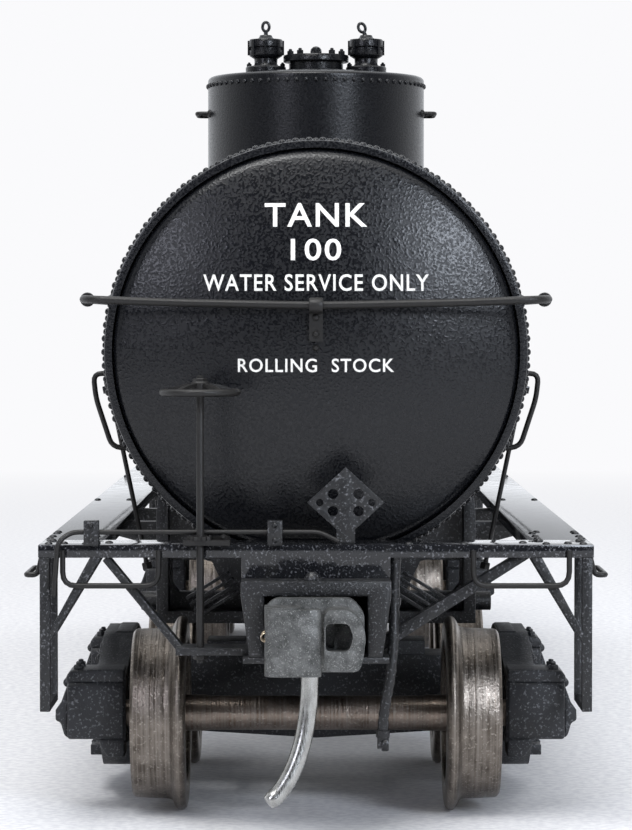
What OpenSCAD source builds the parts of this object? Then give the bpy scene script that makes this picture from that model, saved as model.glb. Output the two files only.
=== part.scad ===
// Model tank wagon, 1:87 scale. Millimetres, +Z up, +X to the right and -Y towards the
// brake end. The origin is on the floor under the middle of the wagon, which stands on
// its wheel flanges. The two ends are alike but for the hand brake, turned half a turn.

/* [Tank] */
// Length of the tank's shell between its end rims
tank_length = 110.4; // [90:0.1:135]
// Outer radius of the tank's shell
tank_radius = 11.65; // [9.4:0.05:13.8]
// Thickness of the tank's shell
tank_wall = 1.0; // [0.7:0.05:1.3]
// Radius of the dished head inside the shell's end rim
head_rim = 0.45; // [0.3:0.05:0.6]
// How far the middle of each head bulges out
head_bulge = 2.0; // [1.2:0.1:3]
// Depth of the seat that holds a head
head_seat = 1.2; // [0.8:0.1:2]

/* [Dome] */
// Radius of the dome
dome_radius = 7.75; // [6.2:0.05:9.4]
// Height of the dome's rim above the top of the tank
dome_rise = 7.15; // [5:0.05:9]
// Thickness of the dome's wall
dome_wall = 0.8; // [0.5:0.05:1.2]
// How far the dome's top is crowned
dome_crown = 0.9; // [0.5:0.05:1.4]
// Distance from the dome's middle to each safety valve
valve_offset = 3.6; // [3.2:0.05:4.4]
// Radius of a safety valve's body
valve_radius = 1.2; // [0.8:0.05:1.3]
// Height of a safety valve from the dome's top, without its ring
valve_height = 2.7; // [2:0.05:3.4]
// Radius of the manway cover
manway_radius = 2.35; // [1.6:0.05:2.4]

/* [Underframe] */
// Height of the running boards' walking surface
deck_top = 15.5; // [14.6:0.05:16.5]
// Thickness of the running boards and platforms at their edge
deck_thick = 0.7; // [0.5:0.05:0.9]
// Half of the width over the running boards
deck_half = 14.93; // [14:0.05:16]
// Width of a side running board
walk_width = 3.33; // [2.6:0.05:4]
// Depth of an end platform
platform_depth = 3.9; // [3:0.05:4.8]
// Gap between a tank end rim and its platform
platform_gap = 0.4; // [0.3:0.05:1]
// Half of the width over the centre sill's webs
sill_half = 2.6; // [2.2:0.05:3]
// Height of the centre sill's top
sill_top = 14; // [13.9:0.05:14.4]
// Height of the centre sill's bottom
sill_bottom = 10.3; // [9.8:0.05:11]
// Thickness of the centre sill's plates
sill_wall = 0.5; // [0.4:0.05:0.8]
// Gap between the centre sill and the tank
tank_clear = 0.15; // [0.1:0.05:0.5]
// Half of the width over a body bolster
bolster_half = 9.35; // [8:0.05:10]
// Half of a body bolster's depth along the wagon
bolster_half_depth = 2.2; // [1.6:0.05:2.4]

/* [Trucks] */
// Distance from the tank's end to the truck's centre
truck_inset = 13.6; // [13:0.1:15]
// Distance between a truck's axles
wheelbase = 19.2; // [15.5:0.1:20.5]
// Radius of the wheel tread
tread_radius = 4.81; // [4:0.01:5.2]
// How far the flange stands out of the tread
flange_depth = 0.64; // [0.5:0.02:0.8]
// Width of a wheel
wheel_width = 3.05; // [2.5:0.01:3.2]
// Distance between the backs of a wheelset's wheels
back_to_back = 14.4; // [14:0.01:14.6]
// Radius of an axle
axle_radius = 1.02; // [0.7:0.01:1.3]
// Radius of the journal outside the wheel
journal_radius = 0.75; // [0.5:0.01:0.9]
// Radial clearance of a journal in its bearing
journal_fit = 0.08; // [0.03:0.01:0.1]
// Distance from the middle to a side frame's inner face
frame_inner = 10.65; // [10.5:0.05:11]
// Thickness of a side frame
frame_thick = 1.7; // [1.2:0.05:2]
// Radius of the screw that a truck turns on
screw_radius = 0.9; // [0.7:0.01:1.2]
// Radial clearance of that screw in the truck's bolster
screw_fit = 0.1; // [0.04:0.01:0.1]

/* [Couplers] */
// How far a coupler box stands out past its platform
box_reach = 2.0; // [1.5:0.05:3]
// How far the coupler's face stands out past its box
coupler_reach = 4.7; // [4.4:0.05:6]
// Length of a coupler box
box_length = 10; // [9:0.1:10.6]
// Half of the width over a coupler box
box_half = 3.55; // [3.3:0.05:4]
// Radius of the post that a coupler turns on
post_radius = 0.9; // [0.7:0.01:1.1]
// Radial clearance of the coupler on its post
post_fit = 0.06; // [0.03:0.01:0.1]
// Radius of the knuckle's pin
knuckle_pin_radius = 0.35; // [0.25:0.01:0.45]
// Radial clearance of the knuckle on its pin
knuckle_fit = 0.05; // [0.03:0.01:0.1]

/* [Wires] */
// Radius of the handrail round the tank
rail_radius = 0.22; // [0.15:0.01:0.3]
// Gap from the tank to the middle of the handrail
rail_stand_off = 1.05; // [0.7:0.05:1.4]
// Radius of the grab irons' wire
grab_radius = 0.135; // [0.1:0.005:0.2]
// Radius of the brake staff
staff_radius = 0.2; // [0.15:0.01:0.3]
// Radius of the hand brake's wheel
brake_wheel_radius = 2.2; // [1.6:0.05:2.6]
// Radius of an air hose
hose_radius = 0.265; // [0.2:0.005:0.35]

/* [Hidden] */
$fn = 32;

tank_black = "#1c1d20";
frame_black = "#202124";
wire_grey = "#2c2a28";
wheel_brown = "#6f665d";
zinc_grey = "#7d7f80";
steel_grey = "#a9a7a2";
bronze = "#a8763c";

// How far one piece of a solid sinks into its neighbour, and how far a cut runs past.
sink = 0.05;
past = 1;

axis_z = sill_top + tank_clear + tank_radius;
head_radius = tank_radius - head_rim;
tank_end = tank_length / 2;
platform_back = tank_end + platform_gap;
platform_front = platform_back + platform_depth;
deck_bottom = deck_top - deck_thick;
walk_inner = deck_half - walk_width;
flange_radius = tread_radius + flange_depth;
axle_z = flange_radius;
back_x = back_to_back / 2;
wheel_outer = back_x + wheel_width;
truck_y = tank_end - truck_inset;
box_front = platform_front + box_reach;
box_back = box_front - box_length;
coupler_face = box_front + coupler_reach;
rail_x = tank_radius + rail_stand_off;
rail_z = axis_z + 2.9;
rail_dip = 0.35;
rail_y = tank_end + head_bulge + 0.5;
rail_corner = 1.6;
dome_rim_z = axis_z + tank_radius + dome_rise;
dome_top_z = dome_rim_z + dome_crown;

// ---- Shared shapes ----

// The same piece at both ends, the second turned half a turn.
module both_ends() {
    children();
    rotate([0, 0, 180]) children();
}

// The same piece on both sides, the second mirrored.
module both_sides() {
    children();
    mirror([1, 0, 0]) children();
}

// A box between two corners.
module block(low, high) {
    translate(low) cube(high - low);
}

// A round bar from one point to another.
module bar(from, to, r) {
    run = to - from;
    length = norm(run);
    translate(from) rotate([0, acos(run[2] / length), atan2(run[1], run[0])])
        cylinder(r = r, h = length);
}

// Geometry of a bent wire: each bend is a mitre between two straight stretches.
wire_sides = 12;

function unit(v) = v / norm(v);

// The direction that a wire's ring faces at point i: half way between its two stretches.
function facing(p, i) =
    i == 0 ? unit(p[1] - p[0]) :
    i == len(p) - 1 ? unit(p[i] - p[i - 1]) :
    unit(unit(p[i] - p[i - 1]) + unit(p[i + 1] - p[i]));

// A direction square to v.
function square_to(v) = unit(cross(v, abs(v[2]) < 0.9 ? [0, 0, 1] : [1, 0, 0]));

function first_ring(p, r) =
    let (t = facing(p, 0), u = square_to(t), w = cross(t, u))
    [for (k = [0:wire_sides - 1])
        p[0] + r * (cos(k * 360 / wire_sides) * u + sin(k * 360 / wire_sides) * w)];

// Each ring is the one before it, carried along the stretch to the next mitre.
function ring_at(p, r, i) = i == 0 ? first_ring(p, r) :
    let (d = unit(p[i] - p[i - 1]), n = facing(p, i))
    [for (q = ring_at(p, r, i - 1)) q + d * ((p[i] - q) * n) / (d * n)];

function ring_sides(a, b) = [for (k = [0:wire_sides - 1])
    [a + k, b + k, b + (k + 1) % wire_sides, a + (k + 1) % wire_sides]];

// A bent wire through a list of points.
module wire(points, r) {
    rings = [for (i = [0:len(points) - 1]) ring_at(points, r, i)];
    last = (len(points) - 1) * wire_sides;
    polyhedron([for (ring = rings) each ring], concat(
        [for (i = [0:len(points) - 2]) each ring_sides(i * wire_sides, (i + 1) * wire_sides)],
        [[for (k = [0:wire_sides - 1]) k]],
        [[for (k = [wire_sides - 1:-1:0]) last + k]]));
}

// A closed loop of wire that lies nearly flat.
module wire_loop(points, r) {
    n = len(points);
    function side_at(i) =
        let (a = unit(points[i] - points[(i + n - 1) % n]), b = unit(points[(i + 1) % n] - points[i]))
        cross(unit(a + b), [0, 0, 1]) / sqrt((1 + a * b) / 2);
    rings = [for (i = [0:n - 1]) each [for (k = [0:wire_sides - 1])
        points[i] + r * (cos(k * 360 / wire_sides) * side_at(i)
            + sin(k * 360 / wire_sides) * [0, 0, 1])]];
    polyhedron(rings, [for (i = [0:n - 1])
        each ring_sides(i * wire_sides, ((i + 1) % n) * wire_sides)]);
}

// A flat strap of one width along Y, bent through points given as [x, z].
module strap(points, thick, y_low, y_high) {
    for (i = [1:len(points) - 1]) {
        run = points[i] - points[i - 1];
        translate([points[i - 1][0], y_low, points[i - 1][1]])
            rotate([0, -atan2(run[1], run[0]), 0])
                translate([-thick / 2, 0, -thick / 2])
                    cube([norm(run) + thick, y_high - y_low, thick]);
    }
}

// Something drawn round the Z axis, laid along Y on the tank's axis.
module on_tank_axis() {
    translate([0, 0, axis_z]) rotate([90, 0, 0]) children();
}

// An outline drawn in X and Z, stretched along Y from one place to another.
module across(y_low, y_high) {
    translate([0, y_high, 0]) rotate([90, 0, 0]) linear_extrude(height = y_high - y_low)
        children();
}

// An outline drawn in Y and Z, stretched along X from one place to another.
module along(x_low, x_high) {
    translate([x_low, 0, 0]) rotate([90, 0, 90]) linear_extrude(height = x_high - x_low)
        children();
}

// ---- Tank ----

module tank_shell() {
    color(tank_black) on_tank_axis() difference() {
        cylinder(r = tank_radius, h = tank_length, center = true);
        cylinder(r = tank_radius - tank_wall, h = tank_length + past, center = true);
        for (side = [-1, 1]) translate([0, 0, side * tank_end])
            cylinder(r = head_radius, h = 2 * head_seat, center = true);
    }
}

// One dished head: a round plate whose outer face is part of a sphere.
module head_shape() {
    sphere_radius = (head_radius * head_radius + head_bulge * head_bulge) / (2 * head_bulge);
    on_tank_axis() intersection() {
        translate([0, 0, tank_end - head_seat])
            cylinder(r = head_radius, h = head_seat + head_bulge + past);
        translate([0, 0, tank_end + head_bulge - sphere_radius])
            sphere(r = sphere_radius, $fn = 200);
    }
}

module tank_head_front() {
    color(tank_black) head_shape();
}

module tank_head_rear() {
    color(tank_black) rotate([0, 0, 180]) head_shape();
}

// A steel bar with a round belly that lies on the bottom of the shell.
module ballast_weight() {
    color(steel_grey) intersection() {
        on_tank_axis() cylinder(r = tank_radius - tank_wall, h = tank_length * 0.72, center = true);
        block([-6.2, -tank_length, axis_z - tank_radius], [6.2, tank_length, axis_z - 4.6]);
    }
}

module dome() {
    color(tank_black) difference() {
        translate([0, 0, axis_z]) cylinder(r = dome_radius, h = dome_rim_z - axis_z);
        translate([0, 0, axis_z - past])
            cylinder(r = dome_radius - dome_wall, h = dome_rim_z - axis_z + 2 * past);
        on_tank_axis() cylinder(r = tank_radius, h = 4 * dome_radius, center = true);
    }
}

// The crowned lid of the dome, with a thin rim and a short spigot inside the wall.
module dome_top() {
    rim = 0.2;
    crown = dome_crown - rim;
    sphere_radius = (dome_radius * dome_radius + crown * crown) / (2 * crown);
    spigot = 0.8;
    color(tank_black) difference() {
        union() {
            intersection() {
                translate([0, 0, dome_rim_z]) cylinder(r = dome_radius, h = dome_crown + past);
                translate([0, 0, dome_top_z - sphere_radius])
                    sphere(r = sphere_radius, $fn = 200);
            }
            translate([0, 0, dome_rim_z - spigot])
                cylinder(r = dome_radius - dome_wall, h = spigot + sink);
        }
        translate([0, 0, manway_seat]) cylinder(r = manway_neck, h = dome_rise);
        both_sides() translate([valve_offset, 0, valve_seat])
            cylinder(r = valve_flange, h = dome_rise);
    }
}

// The seats of the manway's neck and of the valves' flanges in the lid
manway_neck = manway_radius - 0.35;
manway_seat = dome_top_z - 0.3;
valve_flange = valve_radius + 0.25;
valve_seat = dome_top_z - 0.5;

// Neck, cover and its ring of studs.
module manway_cover() {
    cover_z = dome_top_z + 0.6;
    cover_thick = 0.5;
    studs = 10;
    color(tank_black) union() {
        translate([0, 0, manway_seat])
            cylinder(r = manway_neck, h = cover_z - manway_seat + sink);
        translate([0, 0, cover_z]) cylinder(r = manway_radius, h = cover_thick);
        for (i = [0:studs - 1]) rotate([0, 0, (i + 0.5) * 360 / studs])
            translate([manway_radius - 0.4, 0, cover_z])
                cylinder(r = 0.22, h = cover_thick + 0.55);
    }
}

// One safety valve: flange, neck, body, cap and a lifting ring.
module safety_valve(ring_tilt) {
    body_z = dome_top_z + 1.1;
    top_z = dome_top_z - 0.4 + valve_height;
    ring_radius = 0.42;
    ring_wire = 0.14;
    color(tank_black) union() {
        translate([0, 0, valve_seat]) cylinder(r = valve_flange, h = 0.9);
        translate([0, 0, valve_seat])
            cylinder(r = valve_radius - 0.3, h = body_z - valve_seat + sink);
        translate([0, 0, body_z]) cylinder(r = valve_radius, h = top_z - body_z);
        translate([0, 0, top_z - sink]) cylinder(r = 0.5, h = 0.25 + sink);
        translate([0, 0, top_z + 0.2]) rotate([0, ring_tilt, 0])
            translate([0, 0, ring_radius + 0.1]) rotate([90, 0, 0])
                rotate_extrude() translate([ring_radius, 0]) circle(r = ring_wire);
    }
}

module safety_valves() {
    translate([-valve_offset, 0, 0]) safety_valve(0);
    translate([valve_offset, 0, 0]) safety_valve(28);
}

module dome_grab_irons() {
    grab_z = dome_rim_z - 2.3;
    half = 1.6;
    in_x = sqrt(dome_radius * dome_radius - pow(half - grab_radius, 2));
    out_x = dome_radius + 0.75;
    color(wire_grey) both_sides() wire([[in_x, -half, grab_z], [out_x, -half, grab_z],
        [out_x, half, grab_z], [in_x, half, grab_z]], grab_radius);
}

// One closed loop of wire round the tank, a little lower in the middle of each end.
module handrail() {
    bend_steps = 6;
    centre = [rail_x - rail_corner, rail_y - rail_corner];
    // A quarter of the loop, from the middle of the rear end to the middle of the right side
    quarter = [for (i = [0:bend_steps]) let (a = 90 - i * 90 / bend_steps)
        [centre[0] + rail_corner * cos(a), centre[1] + rail_corner * sin(a), rail_z]];
    rear = concat([[0, rail_y, rail_z - rail_dip]], quarter);
    turned = [for (q = rear) [-q[0], -q[1], q[2]]];
    right = [for (i = [bend_steps:-1:0]) [quarter[i][0], -quarter[i][1], rail_z]];
    left = [for (q = right) [-q[0], -q[1], q[2]]];
    color(wire_grey) wire_loop(concat(rear, right, turned, left), rail_radius);
}

// Eyes that carry the handrail: three pairs along the shell and one on each head.
module handrail_posts() {
    foot_x = sqrt(tank_radius * tank_radius - pow(rail_z - axis_z, 2)) - 0.3;
    eye = rail_radius + 0.16;
    post_y = tank_end - 2.2;
    head_low = rail_z - 2.3;
    // The head's face at the bracket, from the sphere that shapes it
    bracket_y = tank_end + head_bulge - 0.15;
    color(wire_grey) {
        both_sides() for (y = [-post_y, -post_y / 3, post_y / 3, post_y]) difference() {
            union() {
                bar([foot_x, y, rail_z], [rail_x, y, rail_z], 0.24);
                translate([rail_x, y, rail_z]) rotate([90, 0, 0])
                    cylinder(r = eye, h = 0.5, center = true);
            }
            translate([rail_x, y, rail_z]) rotate([90, 0, 0])
                cylinder(r = rail_radius, h = past, center = true);
            on_tank_axis() cylinder(r = tank_radius, h = tank_length, center = true);
        }
        both_ends() difference() {
            block([-0.375, -rail_y - 0.1, head_low], [0.375, -bracket_y, rail_z + 0.1]);
            block([-1, -rail_y - past, head_low - sink],
                [1, -rail_y + 0.2, rail_z - rail_dip - 0.5]);
            translate([0, -rail_y, rail_z - rail_dip]) rotate([0, 90, 0])
                cylinder(r = rail_radius + 0.05, h = 3, center = true);
            head_shape();
        }
    }
}

// A strap over the tank above each body bolster, with a lug at each of its ends.
band_thick = 0.22;
band_end_angle = 11;
rod_top = [(tank_radius + 0.81) * cos(band_end_angle), axis_z - (tank_radius + 0.81) * sin(band_end_angle)];

module tank_bands() {
    half_width = 0.65;
    lug_half = 0.55;
    lug_lift = 0.06;
    color(tank_black) both_ends() translate([0, -truck_y, axis_z]) union() {
        rotate([90, 0, 0]) rotate([0, 0, -band_end_angle])
            rotate_extrude(angle = 180 + 2 * band_end_angle)
                translate([tank_radius, -half_width]) square([band_thick, 2 * half_width]);
        both_sides() rotate([0, band_end_angle, 0]) difference() {
            block([tank_radius + band_thick / 2, -lug_half, lug_lift],
                [tank_radius + 1.2, lug_half, 0.5]);
            translate([tank_radius + 0.81, 0, 0])
                cylinder(r = grab_radius, h = 4, center = true);
        }
    }
}

// Threaded rods from the band's lugs down to the bolster, with a nut at each end.
module band_rods() {
    low = [bolster_half + 0.62, 12.9];
    color(wire_grey) both_ends() both_sides() {
        bar([low[0], -truck_y, low[1]], [rod_top[0] + 0.13, -truck_y, rod_top[1] + 0.75], grab_radius);
        bar([low[0] - 0.02, -truck_y, low[1]], [low[0] + 0.06, -truck_y, low[1] + 0.4], 0.3);
    }
}

// Upright wires on the shell near each of the tank's four corners.
module tank_grab_irons() {
    grab_y = tank_end - 5.2;
    color(wire_grey) both_ends() both_sides() difference() {
        wire([[tank_radius - 0.3, -grab_y, axis_z - 1.25],
            [tank_radius + 0.95, -grab_y, axis_z - 1.25],
            [tank_radius - 0.1, -grab_y, axis_z - 5.4],
            [tank_radius - 1.75, -grab_y, axis_z - 5.5]], grab_radius);
        on_tank_axis() cylinder(r = tank_radius, h = tank_length, center = true);
    }
}

// ---- Underframe ----

// A channel, open below, with small outward feet and a hole for the outlet pipe.
module centre_sill() {
    foot = 0.6;
    outlet_hole = 1.15;
    color(frame_black) difference() {
        across(-box_back, box_back) polygon([
            [-sill_half - foot, sill_bottom], [-sill_half + sill_wall, sill_bottom],
            [-sill_half + sill_wall, sill_top - sill_wall],
            [sill_half - sill_wall, sill_top - sill_wall],
            [sill_half - sill_wall, sill_bottom], [sill_half + foot, sill_bottom],
            [sill_half + foot, sill_bottom + 0.4], [sill_half, sill_bottom + 0.4],
            [sill_half, sill_top], [-sill_half, sill_top],
            [-sill_half, sill_bottom + 0.4], [-sill_half - foot, sill_bottom + 0.4]]);
        translate([0, 0, sill_bottom]) cylinder(r = outlet_hole, h = sill_top);
        for (side = [-1, 1]) translate([0, side * truck_y, 0])
            block([-sill_half - past, -bolster_half_depth, 0],
                [sill_half + past, bolster_half_depth, sill_top - sill_wall]);
    }
}

bolster_bottom = 9.8;
plate_bottom = 9.6;
saddle_side = 16.2;

// Half of the bolster's outline from its middle to its side, up to the tank.
module bolster_outline() {
    polygon([[-bolster_half, bolster_bottom], [bolster_half, bolster_bottom],
        [bolster_half, saddle_side], [bolster_half - 0.5, axis_z - 5],
        [-bolster_half + 0.5, axis_z - 5], [-bolster_half, saddle_side]]);
}

// Saddle, web with windows, bottom flange, centre plate and the blind screw hole.
module body_bolster() {
    web_half = 0.6;
    rim = 0.7;
    window_low = 11.5;
    window_high = 13.4;
    color(frame_black) translate([0, -truck_y, 0]) difference() {
        union() {
            across(-web_half, web_half) bolster_outline();
            difference() {
                across(-bolster_half_depth, bolster_half_depth) bolster_outline();
                on_tank_axis() cylinder(r = tank_radius + rim, h = 20, center = true);
                block([-bolster_half + rim, -5, bolster_bottom + rim], [bolster_half - rim, 5, 99]);
            }
            intersection() {
                across(-bolster_half_depth, bolster_half_depth) bolster_outline();
                on_tank_axis() difference() {
                    cylinder(r = tank_radius + rim, h = 20, center = true);
                    cylinder(r = tank_radius - 1, h = 21, center = true);
                }
            }
            block([-2.6, -bolster_half_depth, bolster_bottom],
                [2.6, bolster_half_depth, sill_top - sill_wall]);
            translate([0, 0, plate_bottom]) cylinder(r = 2.6, h = 1);
            both_sides() translate([bolster_half - sink, 0, 10.95]) rotate([0, 90, 0])
                cylinder(r = 0.56, h = 1.0 + sink);
        }
        on_tank_axis() cylinder(r = tank_radius, h = 30, center = true);
        block([-sill_half, -5, sill_top - sill_wall], [sill_half, 5, sill_top]);
        both_sides() across(-3, 3) polygon([[5.3, window_low], [8.1, window_low],
            [8.5, window_low + 0.5], [8.5, window_high], [6.2, window_high]]);
        translate([0, 0, 9]) cylinder(r = screw_radius, h = 4.3);
    }
}

module bolster_front() {
    body_bolster();
}

module bolster_rear() {
    rotate([0, 0, 180]) body_bolster();
}

// Side running board: a tread plate with a lip down each edge and small bolt heads.
module walkway() {
    lip = 0.3;
    plate = 0.35;
    bolt_gap = 33;
    color(frame_black) union() {
        block([walk_inner, -platform_back, deck_top - plate], [deck_half, platform_back, deck_top]);
        block([walk_inner, -platform_back, deck_bottom], [walk_inner + lip, platform_back, deck_top]);
        block([deck_half - lip, -platform_back, deck_bottom], [deck_half, platform_back, deck_top]);
        for (y = [-1.5:1:1.5]) for (x = [walk_inner + 0.8, deck_half - 0.4])
            translate([x, y * bolt_gap, deck_top - sink]) cylinder(r = 0.2, h = 0.12 + sink);
    }
}

module walkway_right() {
    walkway();
}

module walkway_left() {
    mirror([1, 0, 0]) walkway();
}

// End platform with the short block that joins it to the coupler box below.
module end_platform() {
    lip = 0.35;
    plate = 0.4;
    color(frame_black) difference() {
        union() {
            block([-deck_half, -platform_front, deck_bottom], [deck_half, -platform_back, deck_top]);
            block([-4, -platform_front, box_top],
                [4, -platform_back - 0.4, deck_bottom + sink]);
        }
        both_sides() block([4.4, -platform_front + lip, deck_bottom - past],
            [deck_half - lip, -platform_back - lip, deck_top - plate]);
    }
}

module end_platform_front() {
    end_platform();
}

module end_platform_rear() {
    rotate([0, 0, 180]) end_platform();
}

bearer_y = [2 * truck_y / 3, truck_y / 3];

// Arms from the centre sill that carry the running boards.
module cross_bearers() {
    half = 0.4;
    arm_top = min(sill_top, deck_bottom) - 0.1;
    color(frame_black) both_ends() both_sides() for (y = bearer_y)
        across(-y - half, -y + half) polygon([[sill_half, arm_top - 2.4],
            [sill_half + 1.2, arm_top - 2.4], [deck_half - 0.8, deck_bottom - 0.5],
            [deck_half - 0.8, deck_bottom], [6, deck_bottom], [5.4, arm_top],
            [sill_half, arm_top]]);
}

// A stirrup under each corner, with a sloping brace behind each of its legs.
step_thick = 0.55;
step_bottom = 6.5;
step_length = 5.4;

module corner_steps() {
    leg = 0.5;
    out_x = deck_half - 0.08;
    in_x = out_x - step_thick;
    y_low = -platform_front;
    y_high = y_low + step_length;
    color(frame_black) both_ends() both_sides() union() {
        block([in_x, y_low, step_bottom], [out_x, y_high, step_bottom + 0.4]);
        for (y = [y_low, y_high - leg]) {
            block([in_x, y, step_bottom], [out_x, y + leg, deck_bottom]);
            across(y, y + leg) polygon([[in_x + 0.1, 10.1], [in_x + 0.1, 10.7],
                [in_x - 2.15, deck_bottom], [in_x - 2.75, deck_bottom]]);
        }
    }
}

module side_grab_irons() {
    in_x = deck_half - 0.2;
    out_x = deck_half + 0.73;
    z = deck_bottom - 1.0;
    y = [-platform_front + 0.9, -platform_front + 5.9];
    color(wire_grey) both_ends() both_sides() wire([
        [in_x, y[0], deck_bottom + 0.15], [out_x, y[0], z],
        [out_x, y[1], z], [in_x, y[1], deck_bottom + 0.15]], grab_radius);
}

// Grab irons on the front face of each platform, hanging below it.
module end_grab_irons() {
    x = [8.45, 13.6];
    y = -platform_front - grab_radius;
    z = deck_bottom - 1.5;
    color(wire_grey) both_ends() both_sides() wire([
        [x[0], y, deck_top - 0.3], [x[0], y, z], [x[1], y, z], [x[1], y, deck_top - 0.3]],
        grab_radius);
}

staff_x = -6.2;
staff_y = -(platform_front + 0.5);

// A strap that carries the foot of the brake staff on the left, and a channel on the right.
module end_braces() {
    thick = 0.4;
    y_low = -platform_front + 0.2;
    y_high = -platform_front + 1.4;
    // The channel passes behind the air hose
    channel_y = -platform_front + 0.65;
    foot_x = -7.3;
    color(frame_black) both_ends() difference() {
        union() {
            strap([[-11.2, deck_bottom - thick / 2], [foot_x, cavity_low + thick / 2]], thick,
                y_low, y_high);
            block([foot_x - thick / 2, staff_y - 0.6, cavity_low],
                [-box_half + sink, y_high, cavity_low + thick]);
            across(channel_y, channel_y + 1) polygon([[box_half - sink, cavity_low],
                [box_half - sink, cavity_low + 2 * thick], [10.6, deck_bottom],
                [11.6, deck_bottom]]);
        }
        across(-box_front - past, -box_back) box_outline();
        translate([staff_x, staff_y, cavity_low - past]) cylinder(r = staff_radius, h = 3);
    }
}

// A rod across the left half of each end, with a handle that hangs outside the platform.
lever_y = -(platform_front + grab_radius);
lever_z = deck_top + 0.7;

module uncoupling_levers() {
    handle_y = lever_y - 0.38;
    color(wire_grey) both_ends() wire([
        [-deck_half + 0.9, handle_y, deck_bottom - 2.0],
        [-deck_half + 1.1, handle_y, lever_z - 0.5], [-deck_half + 1.8, lever_y, lever_z],
        [0.2, lever_y, lever_z], [1.2, lever_y - 0.2, lever_z - 0.5]], grab_radius);
}

module lever_brackets() {
    color(frame_black) both_ends() for (x = [-12.45, -2.6]) difference() {
        block([x, lever_y - 0.4, deck_top - 0.05], [x + 0.8, lever_y + 1.4, lever_z + 0.6]);
        block([x - 1, lever_y + 0.4, deck_top + 0.4], [x + 2, lever_y + 2, lever_z + 2]);
        block([x - 1, -platform_front, deck_top - 1], [x + 2, lever_y + 2, deck_top]);
        translate([x - 1, lever_y, lever_z]) rotate([0, 90, 0])
            cylinder(r = grab_radius + 0.03, h = 3);
    }
}

brake_wheel_z = 23.7;

// A dished wheel on top of the brake staff, with its hub, nut and spokes.
module brake_wheel() {
    rim = 0.2;
    hub = 0.5;
    spokes = 5;
    color(wire_grey) translate([staff_x, staff_y, brake_wheel_z]) difference() {
        union() {
            rotate_extrude() translate([brake_wheel_radius - rim, 0]) circle(r = rim);
            translate([0, 0, 0.1]) cylinder(r = hub, h = 0.5);
            for (i = [0:spokes - 1]) rotate([0, 0, i * 360 / spokes])
                bar([0.3, 0, 0.35], [brake_wheel_radius - rim, 0, 0.02], 0.13);
        }
        translate([0, 0, -1]) cylinder(r = staff_radius, h = 3);
    }
}

// The upright staff with its ratchet, pawl plate and nuts.
module brake_staff() {
    staff_top = 24.6;
    nut = 0.3;
    foot_nut = 0.45;
    pad = 0.3;
    color(wire_grey) translate([staff_x, staff_y, 0]) union() {
        translate([0, 0, cavity_low - foot_nut])
            cylinder(r = staff_radius, h = staff_top - cavity_low + foot_nut);
        translate([0, 0, staff_top - nut]) cylinder(r = 0.38, h = nut);
        translate([0, 0, deck_top + pad - sink]) cylinder(r = 0.6, h = 0.2 + sink);
        block([-0.9, -0.45, deck_top], [1.6, 1.6, deck_top + pad]);
        block([0.7, -0.1, deck_top + pad - sink], [1.4, 0.5, deck_top + pad + 0.2]);
        translate([0, 0, cavity_low - foot_nut]) cylinder(r = 0.42, h = foot_nut);
    }
}

// A diamond board with holes for cards, on a short stem at each end.
board_x = 1.6;
board_z = deck_top + 2.25;

module placard_boards() {
    half_x = 2.07;
    half_z = 1.9;
    y = -platform_front + 0.3;
    color(frame_black) both_ends() union() {
        across(y, y + 0.45) difference() {
            polygon([[board_x - half_x, board_z], [board_x, board_z + half_z],
                [board_x + half_x, board_z], [board_x, board_z - half_z]]);
            for (i = [-1, 1]) {
                translate([board_x + i * 1.4, board_z]) circle(r = 0.2);
                for (k = [-1, 1]) translate([board_x + i * 0.69, board_z + k * 0.46]) circle(r = 0.28);
            }
        }
        block([board_x - 0.5, y, deck_top], [board_x + 0.5, y + 0.45, board_z - half_z + 0.6]);
    }
}

// ---- Coupler boxes ----

box_top = 13.7;
cavity_top = 12.9;
cavity_low = 9.65;
lid_low = 9.3;
coupler_z = 10.95;
pivot_y = box_front - 5;

// A box's outline, wider at its top.
module box_outline() {
    top_half = box_half + 0.45;
    polygon([[-box_half, cavity_low], [box_half, cavity_low], [top_half, cavity_top],
        [top_half, box_top], [-top_half, box_top], [-top_half, cavity_top]]);
}

// A box open at the front and closed below by its lid, with the coupler's post inside.
module coupler_boxes() {
    wall = 0.8;
    color(frame_black) both_ends() difference() {
        across(-box_front, -box_back) box_outline();
        difference() {
            block([-box_half + wall, -box_front - past, cavity_low - past],
                [box_half - wall, -box_back - wall, cavity_top]);
            translate([0, -pivot_y, 0]) cylinder(r = post_radius, h = 20);
        }
        translate([0, -pivot_y, 0]) cylinder(r = 0.45, h = cavity_top + 0.4);
    }
}

// The flat lid under each box.
module coupler_box_lids() {
    color(frame_black) both_ends() difference() {
        block([-box_half - 0.35, -box_front, lid_low], [box_half + 0.35, -box_back, cavity_low]);
        translate([0, -pivot_y, 0]) cylinder(r = 0.45, h = 20);
    }
}

// A thin bronze plate in each box, whose two side leaves centre the coupler.
module centring_springs() {
    leaf = 0.1;
    half = box_half - 0.8 - 0.2;
    color(bronze) both_ends() union() {
        difference() {
            block([-half, -pivot_y - 1.6, cavity_low], [half, -box_back - 1.0, cavity_low + leaf]);
            translate([0, -pivot_y, 0]) cylinder(r = post_radius + 0.1, h = 20);
        }
        both_sides() block([half - leaf, -pivot_y - 1.6, cavity_low],
            [half, -box_back - 2.0, coupler_z + 0.6]);
    }
}

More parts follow.
